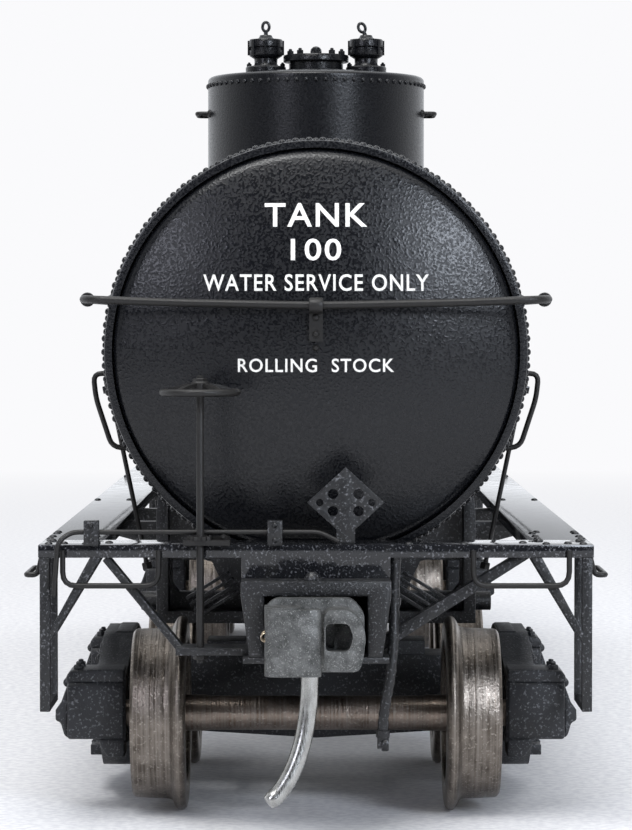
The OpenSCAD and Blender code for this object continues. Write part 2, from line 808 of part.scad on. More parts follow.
// Screws under the two coupler lids and under the two trucks.
module chassis_screws() {
    truck_head_z = 4.35;
    color(steel_grey) both_ends() {
        translate([0, -pivot_y, lid_low - 0.3]) difference() {
            union() {
                cylinder(r = 0.9, h = 0.3);
                cylinder(r = 0.45, h = 4.2);
            }
            block([-0.9, -0.12, -past], [0.9, 0.12, 0.15]);
        }
        translate([0, -truck_y, truck_head_z]) difference() {
            union() {
                cylinder(r = screw_radius + 0.8, h = 0.6);
                cylinder(r = screw_radius, h = 8.8);
            }
            block([-2, -0.2, -past], [2, 0.2, 0.25]);
        }
    }
}

// The hose of the air brake beside each coupler, with its fitting: stiff mouldings.
module air_hoses() {
    y = -platform_front + 0.7;
    color(frame_black) both_ends() union() {
        wire([[4.3, y, deck_bottom], [4.3, y, deck_bottom - 1], [4.2, y, 12.4], [4.2, y - 0.5, 10.65],
            [4.0, y - 0.7, 8.25], [3.64, y - 0.6, 6.5], [3.6, y - 0.4, 5.3]], hose_radius);
        block([3.3, y - 0.65, 4.5], [3.9, y - 0.15, 5.4]);
    }
}

// ---- Brake gear under the tank ----

module brake_cylinder() {
    x = 6.3;
    z = 12.3;
    color(frame_black) union() {
        translate([x, -8, z]) rotate([-90, 0, 0]) cylinder(r = 1.5, h = 8);
        translate([x, -8.35, z]) rotate([-90, 0, 0]) cylinder(r = 1.75, h = 0.6);
        translate([x, -0.2, z]) rotate([-90, 0, 0]) cylinder(r1 = 1.5, r2 = 0.6, h = 0.9);
        translate([x, 0.4, z]) rotate([-90, 0, 0]) cylinder(r = 0.22, h = 4);
        block([x - 0.3, 4.0, z - 0.2], [x + 0.3, 4.4, z + 1.2]);
        for (y = [-6.6, -2.4]) block([sill_half, y, z - 0.4], [x, y + 0.8, z + 0.4]);
    }
}

module air_reservoir() {
    x = -7;
    z = 12.5;
    half = 5.2;
    color(frame_black) union() {
        translate([x, -half - 4, z]) rotate([-90, 0, 0]) cylinder(r = 1.7, h = 2 * half);
        for (side = [-1, 1]) translate([x, -4 + side * half, z]) intersection() {
            rotate([90, 0, 0]) cylinder(r = 1.7, h = 2, center = true);
            translate([0, -side * 2.7, 0]) sphere(r = 3.2);
        }
        for (y = [-8, -1]) block([x, y, z - 0.4], [-sill_half, y + 0.8, z + 0.4]);
    }
}

module triple_valve() {
    color(frame_black) union() {
        block([-6.4, 5.4, 11.4], [-4.6, 7.4, 13.3]);
        translate([-5.5, 6.4, 10.7]) cylinder(r = 0.7, h = 3.1);
        translate([-7.0, 6.4, 12.3]) rotate([0, 90, 0]) cylinder(r = 0.55, h = 3);
        block([-4.7, 6.0, 12.0], [-sill_half, 6.8, 12.8]);
    }
}

// The bottom outlet: flange against the tank, pipe and screwed cap.
module outlet_valve() {
    color(frame_black) union() {
        translate([0, 0, 9.2]) cylinder(r = 0.9, h = sill_top - 9.2);
        translate([0, 0, 8.2]) cylinder(r = 1.3, h = 1.1);
        translate([0, 0, 7.9]) cylinder(r = 0.45, h = 0.4);
        difference() {
            translate([0, 0, sill_top - 0.1]) cylinder(r = 1.6, h = 0.6);
            on_tank_axis() cylinder(r = tank_radius, h = 10, center = true);
            block([-3, -3, 0], [3, 3, sill_top]);
        }
    }
}

// ---- Trucks ----

truck_plate_top = plate_bottom - 0.05;
bolster_half_y = min(1.9, wheelbase / 2 - tread_radius - 1.5);
beam_low = 5.0;
beam_top = 7.9;
frame_low = 1.7;
spring_low = 2.8;
spring_top = 5.6;

// The cross piece of a truck, with its round centre plate and the screw's bore.
module truck_bolster() {
    color(frame_black) translate([0, -truck_y, 0]) difference() {
        union() {
            block([-frame_inner, -bolster_half_y, beam_low], [frame_inner, bolster_half_y, beam_top]);
            block([-6.4, 0.3 - bolster_half_y, beam_top - sink],
                [6.4, bolster_half_y - 0.3, beam_top + 0.8]);
            translate([0, 0, beam_top - sink])
                cylinder(r = 2.4, h = truck_plate_top - beam_top + sink);
        }
        cylinder(r = screw_radius + screw_fit, h = 2 * truck_plate_top);
        cylinder(r = screw_radius + 0.95, h = beam_low + 0.2);
    }
}

module truck_bolster_front() {
    truck_bolster();
}

module truck_bolster_rear() {
    rotate([0, 0, 180]) truck_bolster();
}

// Outline of a side frame, symmetrical about the truck's centre.
module frame_outline() {
    box_y = wheelbase / 2;
    top_z = axle_z + 4.05;
    for (side = [0, 1]) mirror([side, 0]) polygon([
        [0, top_z], [3.1, top_z], [4.3, top_z - 0.5], [box_y - 1.4, axle_z + 2.3],
        [box_y + 1.5, axle_z + 2.1], [box_y + 1.5, axle_z - 1.5], [box_y - 1.9, axle_z - 1.6],
        [4.0, frame_low], [0, frame_low]]);
}

// The two windows and the spring opening of a side frame.
module frame_windows() {
    box_y = wheelbase / 2;
    for (side = [0, 1]) mirror([side, 0]) polygon([
        [3.5, axle_z + 2.2], [box_y - 2.4, axle_z + 1.0], [box_y - 2.4, axle_z - 0.4],
        [3.9, spring_low + 0.6], [3.5, spring_low + 0.7]]);
    translate([-2.6, spring_low - sink]) square([5.2, spring_top - spring_low + 2 * sink]);
}

// One side frame, on the +X side: frame, springs and two journal boxes with lids.
module sideframe() {
    outer = frame_inner + frame_thick;
    tip = wheel_outer + 2.92;
    box_out = wheel_outer + 3.85;
    lid_out = box_out + 0.5;
    journal_half = 1.65;
    bore = journal_radius + journal_fit;
    color(frame_black) translate([0, -truck_y, 0]) difference() {
        union() {
            along(frame_inner, outer) difference() {
                frame_outline();
                frame_windows();
            }
            block([frame_inner + 0.2, -3.2, spring_top], [outer + 0.5, 3.2, spring_top + 1.9]);
            for (y = [-1.7, 0, 1.7])
                translate([frame_inner + frame_thick / 2, y, spring_low - sink])
                    cylinder(r = 0.72, h = spring_top - spring_low + 2 * sink);
            block([frame_inner + 0.1, -3.0, frame_low], [outer + 0.4, 3.0, spring_low]);
            for (y = [-wheelbase / 2, wheelbase / 2]) translate([0, y, axle_z]) {
                block([frame_inner + 0.2, -journal_half, -1.6], [box_out, journal_half, 1.7]);
                block([frame_inner + 0.4, -1.3, 1.6], [box_out - 0.6, 1.3, 2.4]);
                translate([box_out - sink, 0, 0.05]) rotate([0, 90, 0])
                    cylinder(r = 1.4, h = 0.3);
                block([box_out - sink, -0.75, -1.0], [lid_out, 0.75, 1.3]);
            }
        }
        for (y = [-wheelbase / 2, wheelbase / 2]) translate([0, y, axle_z]) rotate([0, 90, 0]) {
            cylinder(r = bore, h = tip - 1.3);
            translate([0, 0, tip - 1.3]) cylinder(r1 = bore, r2 = 0.12, h = 1.4);
        }
    }
}

module sideframes_front() {
    both_sides() sideframe();
}

module sideframes_rear() {
    rotate([0, 0, 180]) both_sides() sideframe();
}

// A slightly bent beam inside each wheelset, with a shoe at each wheel, hung on the bolster.
module brake_beam() {
    shoe_gap = 0.18;
    beam_y = wheelbase / 2 - tread_radius - shoe_gap - 0.9;
    shoe_x = [back_x + 0.95, wheel_outer - 0.15];
    beam_z = 4.1;
    bend = 0.5;
    half = 0.3;
    color(frame_black) difference() {
        union() {
            across(-beam_y - half, -beam_y + half) polygon([
                [-shoe_x[0], beam_z - half], [0, beam_z - bend - half], [shoe_x[0], beam_z - half],
                [shoe_x[0], beam_z + half], [0, beam_z - bend + half], [-shoe_x[0], beam_z + half]]);
            both_sides() block([shoe_x[0] - sink, -wheelbase / 2, beam_z - 1.1],
                [shoe_x[1], -beam_y + 0.4, beam_z + 1.6]);
            both_sides() block([5.6, -beam_y, beam_z - 0.2], [6.1, -1.8, beam_z + 0.4]);
            both_sides() block([5.6, -1.9, beam_z - 0.3], [6.1, -1.4, beam_low]);
        }
        translate([0, -wheelbase / 2, axle_z]) rotate([0, 90, 0])
            cylinder(r = tread_radius + shoe_gap, h = 30, center = true);
    }
}

module brake_beams_front() {
    translate([0, -truck_y, 0]) both_ends() brake_beam();
}

module brake_beams_rear() {
    rotate([0, 0, 180]) brake_beams_front();
}

// ---- Wheelsets ----

axle_y = [-truck_y - wheelbase / 2, -truck_y + wheelbase / 2,
    truck_y - wheelbase / 2, truck_y + wheelbase / 2];

// One wheel, turned round Z with its back face at zero: flange, tread, rim, plate and hub.
module wheel() {
    flange_width = 0.76;
    rim_inner = tread_radius - 0.85;
    hub = axle_radius + 0.7;
    rotate_extrude($fn = 64) polygon([
        [axle_radius, 0.25], [hub, 0.25], [hub, 0.9], [rim_inner, 0.75], [rim_inner, 0],
        [flange_radius - 0.35, 0], [flange_radius - 0.06, 0.14], [flange_radius, 0.35],
        [flange_radius - 0.12, 0.58], [tread_radius + 0.1, flange_width],
        [tread_radius - 0.02, flange_width + 0.25], [tread_radius - 0.1, wheel_width - 0.15],
        [tread_radius - 0.25, wheel_width], [rim_inner, wheel_width],
        [rim_inner - 0.1, 1.75], [hub, 1.85], [hub, wheel_width - 0.1],
        [axle_radius, wheel_width - 0.1]]);
}

module wheel_pair(n) {
    color(wheel_brown) translate([0, axle_y[n], axle_z]) both_sides()
        translate([back_x, 0, 0]) rotate([0, 90, 0]) wheel();
}

// An axle with a pointed journal at each end.
module axle(n) {
    seat_end = wheel_outer - 0.1;
    point = wheel_outer + 2.85;
    color(wheel_brown) translate([0, axle_y[n], axle_z]) rotate([0, 90, 0])
        rotate_extrude($fn = 48) polygon([
            [0, -point], [0.06, -point], [journal_radius, -point + 1.3],
            [journal_radius, -seat_end], [axle_radius, -seat_end], [axle_radius, seat_end],
            [journal_radius, seat_end], [journal_radius, point - 1.3], [0.06, point], [0, point]]);
}

module wheels_1() { wheel_pair(0); }
module wheels_2() { wheel_pair(1); }
module wheels_3() { wheel_pair(2); }
module wheels_4() { wheel_pair(3); }
module axle_1() { axle(0); }
module axle_2() { axle(1); }
module axle_3() { axle(2); }
module axle_4() { axle(3); }

// ---- Couplers ----

head_low = 9.0;
head_high = 12.94;
head_back = coupler_face - 3.9;
knuckle_x = -1.75;
knuckle_y = coupler_face - 1.75;
lug = 0.75;

// Shank with its eye, the head with its guard arm, and two lugs round the knuckle's pin.
module coupler() {
    shank_half = 1.0;
    shank_high = 0.85;
    guard_x = 0.75;
    color(zinc_grey) difference() {
        union() {
            translate([0, -pivot_y, coupler_z - shank_high]) cylinder(r = 1.75, h = 2 * shank_high);
            block([-shank_half, -head_back - sink, coupler_z - shank_high],
                [shank_half, -pivot_y, coupler_z + shank_high]);
            block([-2.75, -head_back - 0.95, head_low], [2.6, -head_back, head_high]);
            block([guard_x, -coupler_face + 0.55, head_low + 0.2],
                [2.65, -head_back - 0.9, head_high - 0.3]);
            translate([guard_x + 0.95, -coupler_face + 0.95, head_low + 0.2])
                cylinder(r = 0.95, h = head_high - head_low - 0.5);
            for (z = [head_low, head_high - lug]) {
                translate([knuckle_x, -knuckle_y, z]) cylinder(r = 0.95, h = lug);
                block([knuckle_x - 0.95, -knuckle_y, z], [knuckle_x + 0.95, -head_back - 0.9, z + lug]);
            }
            translate([knuckle_x, -knuckle_y, head_low]) cylinder(r = knuckle_pin_radius, h = 3.9);
        }
        translate([0, -pivot_y, 0]) cylinder(r = post_radius + post_fit, h = 20);
        block([guard_x - 0.3, -coupler_face - past, coupler_z - 0.55],
            [guard_x + 0.65, -coupler_face + 2.2, coupler_z + 0.75]);
        translate([trip_x, -coupler_face + trip_inset, head_low - past])
            cylinder(r = trip_radius, h = past + 1.5);
    }
}

module coupler_front() {
    coupler();
}

module coupler_rear() {
    rotate([0, 0, 180]) coupler();
}

trip_radius = 0.475;
trip_x = -0.32;
trip_inset = 3.1;

// A bent steel pin under the coupler's head that stands for the air hose.
module trip_pin() {
    y = -coupler_face + trip_inset;
    color(steel_grey) wire([[trip_x, y, head_low + 1.4], [trip_x, y, 8.0], [-0.42, y - 0.05, 6.9],
        [-0.6, y - 0.15, 5.8], [-0.88, y - 0.35, 4.7], [-1.25, y - 0.55, 3.8],
        [-1.75, y - 0.75, 2.95], [-2.5, y - 1.0, 2.15]], trip_radius);
}

module trip_pin_front() {
    trip_pin();
}

module trip_pin_rear() {
    rotate([0, 0, 180]) trip_pin();
}

// The hinged claw: an eye round the pin, an arm in front of it and a nose towards the guard.
module knuckle() {
    gap = 0.12;
    eye_low = head_low + lug + gap;
    eye_high = head_high - lug - gap;
    nose_x = 0.3;
    color(zinc_grey) translate([0, -knuckle_y, 0]) difference() {
        union() {
            translate([knuckle_x, 0, eye_low]) cylinder(r = 0.85, h = eye_high - eye_low);
            block([knuckle_x - 0.85, -1.1, eye_low], [knuckle_x + 0.6, 0, eye_high]);
            block([knuckle_x - 0.9, -1.75, head_low + 0.1], [nose_x - 0.35, -1.05, head_high - 0.35]);
            translate([nose_x - 0.35, -1.4, head_low + 0.1])
                cylinder(r = 0.35, h = head_high - head_low - 0.45);
            block([nose_x - 0.65, -1.4, head_low + 0.1], [nose_x - 0.02, -0.75, head_high - 0.35]);
        }
        translate([knuckle_x, 0, 0]) cylinder(r = knuckle_pin_radius + knuckle_fit, h = 20);
    }
}

module knuckle_front() {
    knuckle();
}

module knuckle_rear() {
    rotate([0, 0, 180]) knuckle();
}

// ---- Assembly ----

tank_shell();
tank_head_front();
tank_head_rear();
ballast_weight();
dome();
dome_top();
manway_cover();
safety_valves();
dome_grab_irons();
handrail();
handrail_posts();
tank_bands();
band_rods();
tank_grab_irons();
centre_sill();
bolster_front();
bolster_rear();
walkway_left();
walkway_right();
end_platform_front();
end_platform_rear();
cross_bearers();
corner_steps();
side_grab_irons();
end_grab_irons();
end_braces();
uncoupling_levers();
lever_brackets();
brake_wheel();
brake_staff();
placard_boards();
coupler_boxes();
coupler_box_lids();
centring_springs();
chassis_screws();
air_hoses();
brake_cylinder();
air_reservoir();
triple_valve();
outlet_valve();
truck_bolster_front();
truck_bolster_rear();
sideframes_front();
sideframes_rear();
brake_beams_front();
brake_beams_rear();
wheels_1();
wheels_2();
wheels_3();
wheels_4();
axle_1();
axle_2();
axle_3();
axle_4();
coupler_front();
coupler_rear();
trip_pin_front();
trip_pin_rear();
knuckle_front();
knuckle_rear();
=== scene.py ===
"""Looks of a 1:87 model tank wagon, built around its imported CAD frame.

Lengths inside this file are in millimetres and become metres when a piece is made.
X is to the right of someone facing the hand brake end, -Y towards that end, Z up.
The rear end is the front end turned half a turn, but for the hand brake.
"""

from __future__ import annotations

import logging
import math
from dataclasses import dataclass, field
from enum import Enum

import bmesh
import bpy
import numpy as np
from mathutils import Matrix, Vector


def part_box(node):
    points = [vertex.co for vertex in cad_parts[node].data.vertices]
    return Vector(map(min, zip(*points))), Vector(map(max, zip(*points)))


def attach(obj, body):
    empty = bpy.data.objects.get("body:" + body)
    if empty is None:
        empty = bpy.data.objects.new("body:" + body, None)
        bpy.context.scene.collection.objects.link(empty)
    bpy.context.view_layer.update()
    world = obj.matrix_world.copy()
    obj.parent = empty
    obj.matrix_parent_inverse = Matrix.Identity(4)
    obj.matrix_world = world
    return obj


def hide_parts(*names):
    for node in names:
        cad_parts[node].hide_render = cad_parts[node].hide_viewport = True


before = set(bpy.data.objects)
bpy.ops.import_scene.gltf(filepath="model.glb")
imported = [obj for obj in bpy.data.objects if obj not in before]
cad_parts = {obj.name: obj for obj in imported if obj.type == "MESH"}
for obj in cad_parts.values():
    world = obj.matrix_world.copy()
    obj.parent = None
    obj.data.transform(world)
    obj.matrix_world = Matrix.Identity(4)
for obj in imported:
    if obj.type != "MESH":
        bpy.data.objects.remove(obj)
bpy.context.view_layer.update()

LOG = logging.getLogger("tank_wagon")
MM = 0.001
WELD = 0.002
BEVEL_FROM = 40.0
ROUND = 2 * math.pi
# a head's rounded edge: its width, the part of it that curves, and how far it falls
HEAD_EDGE, HEAD_CURVE, HEAD_FALL = 0.6, 0.57, 0.4
# sockets of the colour Mix node: the colour under, the one over it, and the result
UNDER, OVER, MIXED = 6, 7, 2

Point = tuple[float, float, float]
Outline = list[tuple[float, float]] | np.ndarray


# ---------------------------------------------------------------- measures from the frame


@dataclass(frozen=True)
class Span:
    """The box of a CAD node, in millimetres."""

    low: np.ndarray
    high: np.ndarray

    @classmethod
    def of(cls, node: str) -> "Span":
        """Reads a node's box.

        Args:
            node: the CAD node's name.

        Returns:
            Its span at rest.
        """
        low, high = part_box(node)
        return cls(np.array(low) / MM, np.array(high) / MM)

    @property
    def mid(self) -> np.ndarray:
        """Middle of the box."""
        return (self.low + self.high) / 2

    @property
    def size(self) -> np.ndarray:
        """Lengths of the box's sides."""
        return self.high - self.low


class Datum:
    """Main measures of the wagon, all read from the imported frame."""

    shell = Span.of("tank_shell")
    head = Span.of("tank_head_front")
    dome = Span.of("dome")
    dome_lid = Span.of("dome_top")
    cover = Span.of("manway_cover")
    valves = Span.of("safety_valves")
    rail = Span.of("handrail")
    deck = Span.of("walkway_right")
    platform = Span.of("end_platform_front")
    wheels = Span.of("wheels_1")
    axle = Span.of("axle_1")
    coupler = Span.of("coupler_front")
    knuckle = Span.of("knuckle_front")
    box = Span.of("coupler_boxes")
    bolster = Span.of("bolster_front")
    side_frame = Span.of("sideframes_front")
    trip = Span.of("trip_pin_front")
    tank_r = shell.size[0] / 2
    tank_end = shell.high[1]
    axis_z = shell.mid[2]
    head_r = head.size[0] / 2
    dome_r = dome.size[0] / 2
    rim_z = dome.high[2]
    lid_z = dome_lid.high[2]
    deck_top = platform.high[2]
    deck_half = platform.high[0]
    walk_inner = deck.low[0]
    platform_front = -platform.low[1]
    platform_back = -platform.high[1]
    deck_low = deck.low[2]
    axle_z = axle.mid[2]
    truck_y = -side_frame.mid[1]
    axle_ys = tuple(Span.of(f"axle_{n}").mid[1] for n in range(1, 5))
    flange_r = wheels.size[2] / 2
    wheel_out = wheels.high[0]
    face_y = coupler.low[1]


# ---------------------------------------------------------------- meshes in numpy


@dataclass
class Mesh:
    """Points in millimetres, and faces as lists of point numbers."""

    points: np.ndarray
    faces: list[list[int]]

    def __add__(self, other: "Mesh") -> "Mesh":
        """Both meshes as one."""
        step = len(self.points)
        moved = [[i + step for i in face] for face in other.faces]
        return Mesh(np.vstack([self.points, other.points]), self.faces + moved)

    def moved(self, x: float = 0.0, y: float = 0.0, z: float = 0.0) -> "Mesh":
        """The mesh carried by x, y and z."""
        return Mesh(self.points + np.array([x, y, z]), self.faces)

    def turned(self, axis: str, degrees: float) -> "Mesh":
        """The mesh turned about an axis through the origin.

        Args:
            axis: "X", "Y" or "Z".
            degrees: the angle, by the right-hand rule.

        Returns:
            A new mesh.
        """
        a = math.radians(degrees)
        c, s = math.cos(a), math.sin(a)
        i, j = {"X": (1, 2), "Y": (2, 0), "Z": (0, 1)}[axis]
        points = self.points.copy()
        points[:, i] = c * self.points[:, i] - s * self.points[:, j]
        points[:, j] = s * self.points[:, i] + c * self.points[:, j]
        return Mesh(points, self.faces)

    def mirrored(self) -> "Mesh":
        """The mesh on the other side of the wagon; its faces are turned back outwards."""
        return Mesh(self.points * np.array([-1, 1, 1]), [face[::-1] for face in self.faces])

    def both_sides(self) -> "Mesh":
        """The mesh and its mirror image."""
        return self + self.mirrored()

    def both_ends(self) -> "Mesh":
        """The mesh and a copy turned half a turn about Z."""
        return self + self.turned("Z", 180)


def join(meshes: list[Mesh]) -> Mesh:
    """All the meshes of a list as one."""
    total = meshes[0]
    for mesh in meshes[1:]:
        total = total + mesh
    return total


def grid(points: np.ndarray, wrap_rows: bool = False, wrap_cols: bool = False) -> Mesh:
    """A sheet of four-sided faces over a table of points.

    Args:
        points: array of rows, columns and 3 coordinates.
        wrap_rows: join the last row to the first.
        wrap_cols: join the last column to the first.

    Returns:
        The mesh; face (i, j) has corners (i, j), (i, j+1), (i+1, j+1), (i+1, j).
    """
    rows, cols = points.shape[:2]
    i = np.arange(rows if wrap_rows else rows - 1)[:, None]
    j = np.arange(cols if wrap_cols else cols - 1)[None, :]
    i2, j2 = (i + 1) % rows, (j + 1) % cols
    corners = [i * cols + j, i * cols + j2, i2 * cols + j2, i2 * cols + j]
    faces = np.stack([c + 0 * (i + j) for c in corners], axis=-1).reshape(-1, 4)
    return Mesh(points.reshape(-1, 3).astype(float), faces.tolist())


def lathe(profile: Outline, sides: int = 48, closed: bool = False) -> Mesh:
    """A profile turned round Z: point (r, z) goes to (r cos a, r sin a, z) for each angle a.

    Args:
        profile: radius and height of each point; an end on the axis closes the shape.
        sides: number of steps round.
        closed: join the last point of the profile to the first.

    Returns:
        The turned mesh.
    """
    p = np.array(profile, float)
    a = np.arange(sides) * ROUND / sides
    points = np.stack(
        [
            p[:, :1] * np.cos(a),
            p[:, :1] * np.sin(a),
            np.repeat(p[:, 1:], sides, axis=1),
        ],
        axis=-1,
    )
    return grid(points, wrap_rows=closed, wrap_cols=True)


def unit(vectors: np.ndarray) -> np.ndarray:
    """Vectors of the same directions with length one."""
    return vectors / np.linalg.norm(vectors, axis=-1, keepdims=True)


def rounded(points: list[Point], bend: float, steps: int = 5, closed: bool = False) -> np.ndarray:
    """A path whose corners are quadratic curves: (1-t)^2 A + 2t(1-t) B + t^2 C.

    Args:
        points: the corners of the path.
        bend: distance from a corner to where its curve starts.
        steps: points along each curve.
        closed: whether the last corner leads back to the first.

    Returns:
        The path's points.
    """
    p = np.array(points, float)
    before, after = np.roll(p, 1, axis=0), np.roll(p, -1, axis=0)
    reach = np.minimum(bend, np.linalg.norm(after - p, axis=1) * 0.49)[:, None]
    reach_back = np.minimum(bend, np.linalg.norm(before - p, axis=1) * 0.49)[:, None]
    start = p + unit(before - p) * reach_back
    end = p + unit(after - p) * reach
    t = np.linspace(0, 1, steps)[None, :, None]
    curves = (1 - t) ** 2 * start[:, None] + 2 * t * (1 - t) * p[:, None] + t**2 * end[:, None]
    if closed:
        return curves.reshape(-1, 3)
    return np.vstack([p[:1], curves[1:-1].reshape(-1, 3), p[-1:]])


def sweep(
    path: np.ndarray,
    section: np.ndarray,
    closed: bool = False,
    beside: Point | None = None,
    scale: np.ndarray | None = None,
) -> Mesh:
    """An outline carried along a path, square to it, with flat ends.

    Point (u, v) of the outline goes to P + u N + v B, where N and B are square to the
    path's direction. B is given, or N is carried along with the least turning.

    Args:
        path: points of the path.
        section: outline points (u, v).
        closed: whether the path is a loop.
        beside: the fixed direction B, for a path in a plane.
        scale: a factor on the outline at each point of the path.

    Returns:
        The swept mesh.
    """
    path = np.array(path, float)
    if closed:
        tangent = unit(np.roll(path, -1, axis=0) - np.roll(path, 1, axis=0))
    else:
        tangent = unit(np.gradient(path, axis=0))
    if beside is not None:
        second = np.tile(np.array(beside, float), (len(path), 1))
        first = unit(np.cross(second, tangent))
    else:
        start = np.array([0, 0, 1.0]) if abs(tangent[0][2]) < 0.9 else np.array([1.0, 0, 0])
        carried = []
        for t in tangent:
            start = start - (start @ t) * t
            start = start / np.linalg.norm(start)
            carried.append(start)
        first = np.array(carried)
        second = np.cross(tangent, first)
    factor = np.ones(len(path)) if scale is None else np.array(scale, float)
    u = section[None, :, :1] * factor[:, None, None]
    v = section[None, :, 1:] * factor[:, None, None]
    mesh = grid(path[:, None] + u * first[:, None] + v * second[:, None], closed, True)
    if not closed:
        n = len(section)
        last = (len(path) - 1) * n
        mesh.faces += [list(range(n)), list(range(last + n - 1, last - 1, -1))]
    return mesh


def circle(radius: float, sides: int = 12) -> np.ndarray:
    """Outline of a circle: (r cos a, r sin a)."""
    a = np.arange(sides) * ROUND / sides
    return radius * np.stack([np.cos(a), np.sin(a)], axis=1)


def rectangle(wide: float, high: float) -> np.ndarray:
    """Outline of a rectangle round the origin."""
    return np.array([[1, 1], [-1, 1], [-1, -1], [1, -1]]) * np.array([wide, high]) / 2


def wire(points: list[Point], radius: float, bend: float = 0.6, sides: int = 12) -> Mesh:
    """A round wire along a path with rounded bends."""
    return sweep(rounded(points, bend), circle(radius, sides))


def box(low: Point, high: Point) -> Mesh:
    """A box between two corners."""
    low_, high_ = np.array(low, float), np.array(high, float)
    pick = np.array([[i, j, k] for k in (0, 1) for j in (0, 1) for i in (0, 1)])
    faces = [[0, 2, 3, 1], [4, 5, 7, 6], [0, 1, 5, 4], [2, 6, 7, 3], [0, 4, 6, 2], [1, 3, 7, 5]]
    return Mesh(low_ + pick * (high_ - low_), faces)


def prism(outline: Outline, low: float, high: float, axis: str = "Y") -> Mesh:
    """An outline stretched along an axis.

    Args:
        outline: corners as (x, z) for axis Y, (y, z) for axis X or (x, y) for axis Z.
        low: where the prism starts along the axis.
        high: where it ends.
        axis: "X", "Y" or "Z".

    Returns:
        The prism, with one face at each end.
    """
    o = np.array(outline, float)
    ends = [seat(o, np.full((len(o), 1), at), axis) for at in (low, high)]
    n = len(o)
    mesh = grid(np.stack(ends), wrap_cols=True)
    mesh.faces += [list(range(n)), list(range(2 * n - 1, n - 1, -1))]
    return mesh


def seat(flat: np.ndarray, level: np.ndarray, axis: str) -> np.ndarray:
    """Flat points and their level along an axis as points in space."""
    if axis == "X":
        return np.hstack([level, flat])
    if axis == "Y":
        return np.hstack([flat[:, :1], level, flat[:, 1:]])
    return np.hstack([flat, level])


def soft(outline: list[tuple[float, float]], bend: float, steps: int = 5) -> np.ndarray:
    """A closed flat outline with its corners rounded, as rounded() does it in space."""
    path = [(a, b, 0.0) for a, b in outline]
    return rounded(path, bend, steps, closed=True)[:, :2]


def plate(outline: np.ndarray, holes: list[np.ndarray], low: float, high: float,
          axis: str) -> Mesh:
    """A flat plate with holes: the outline less the holes, stretched along an axis.

    Args:
        outline: corners in the plate's plane, as for prism().
        holes: the corners of each hole.
        low: where the plate starts along the axis.
        high: where it ends.
        axis: "X", "Y" or "Z".

    Returns:
        The plate as a closed mesh.
    """
    curve = bpy.data.curves.new("plate", "CURVE")
    curve.dimensions = "2D"
    curve.fill_mode = "BOTH"
    curve.extrude = (high - low) / 2
    for ring in [outline, *holes]:
        spline = curve.splines.new("POLY")
        spline.points.add(len(ring) - 1)
        level = np.zeros((len(ring), 1))
        spline.points.foreach_set("co", np.hstack([ring, level, level + 1]).ravel())
        spline.use_cyclic_u = True
    flat, faces = drain(curve)
    return Mesh(seat(flat[:, :2], flat[:, 2:] + (low + high) / 2, axis), faces)


def drain(curve: bpy.types.Curve) -> tuple[np.ndarray, list[list[int]]]:
    """Points and faces of a curve or text, which is then removed."""
    holder = bpy.data.objects.new(curve.name, curve)
    data = bpy.data.meshes.new_from_object(holder)
    points = np.array([v.co for v in data.vertices], float)
    faces = [list(p.vertices) for p in data.polygons]
    bpy.data.objects.remove(holder)
    bpy.data.curves.remove(curve)
    bpy.data.meshes.remove(data)
    return points, faces


def ring(radius: float, count: int, z: float = 0.0, phase: float = 0.0) -> np.ndarray:
    """Points round Z, (r cos a, r sin a, z); the first stands phase of a step from +X."""
    a = (np.arange(count) + phase) * ROUND / count
    return np.stack([radius * np.cos(a), radius * np.sin(a), z + 0 * a], axis=1)


def stamp(template: Mesh, places: np.ndarray, facing: np.ndarray | Point) -> Mesh:
    """A small mesh set at many places: its Z goes along each place's normal.

    Point (x, y, z) goes to P + x U + y V + z N, with U and V square to the normal N.

    Args:
        template: the mesh, built round the origin.
        places: points, one a row.
        facing: normals, one a row, or one for all.

    Returns:
        All the copies as one mesh.
    """
    n = unit(np.broadcast_to(np.array(facing, float), (len(places), 3)))
    up = np.where(np.abs(n[:, 2:]) < 0.9, [[0, 0, 1.0]], [[1.0, 0, 0]])
    u = unit(np.cross(up, n))
    v = np.cross(n, u)
    t = template.points
    points = (
        np.array(places, float)[:, None]
        + t[None, :, :1] * u[:, None]
        + t[None, :, 1:2] * v[:, None]
        + t[None, :, 2:] * n[:, None]
    )
    count = len(t)
    faces = [[i + k * count for i in face] for k in range(len(n)) for face in template.faces]
    return Mesh(points.reshape(-1, 3), faces)


def rivet(radius: float, height: float, sides: int = 10) -> Mesh:
    """A round rivet head standing on the plane z = 0, with its foot just below it."""
    rows = [(0, -0.06), (1, -0.06), (1, 0.1), (0.86, 0.55), (0.5, 0.9), (0, 1)]
    return lathe([(r * radius, z if z < 0 else z * height) for r, z in rows], sides)


def nut(radius: float, height: float) -> Mesh:
    """A hexagonal nut with a stud's round end above it."""
    body = lathe([(0, -0.05), (radius, -0.05), (radius, height * 0.85), (radius * 0.86, height),
                  (0, height)], 6)
    stud = lathe([(0, 0), (radius * 0.5, 0), (radius * 0.5, height * 1.35),
                  (radius * 0.3, height * 1.5), (0, height * 1.5)], 10)
    return body + stud


def coil(foot: Point, radius: float, height: float, turns: float, gauge: float) -> Mesh:
    """A helical spring about a vertical line: (R cos a, R sin a, pitch a / 2 pi).

    Args:
        foot: the lowest point of the spring's axis.
        radius: radius of the coil's centreline.
        height: height of the spring.
        turns: number of turns.
        gauge: radius of the wire.

    Returns:
        The spring.
    """
    a = np.linspace(0, ROUND * turns, int(18 * turns) + 1)
    path = np.stack([radius * np.cos(a), radius * np.sin(a), a / a[-1] * height], axis=1)
    return sweep(path + np.array(foot), circle(gauge, 8))


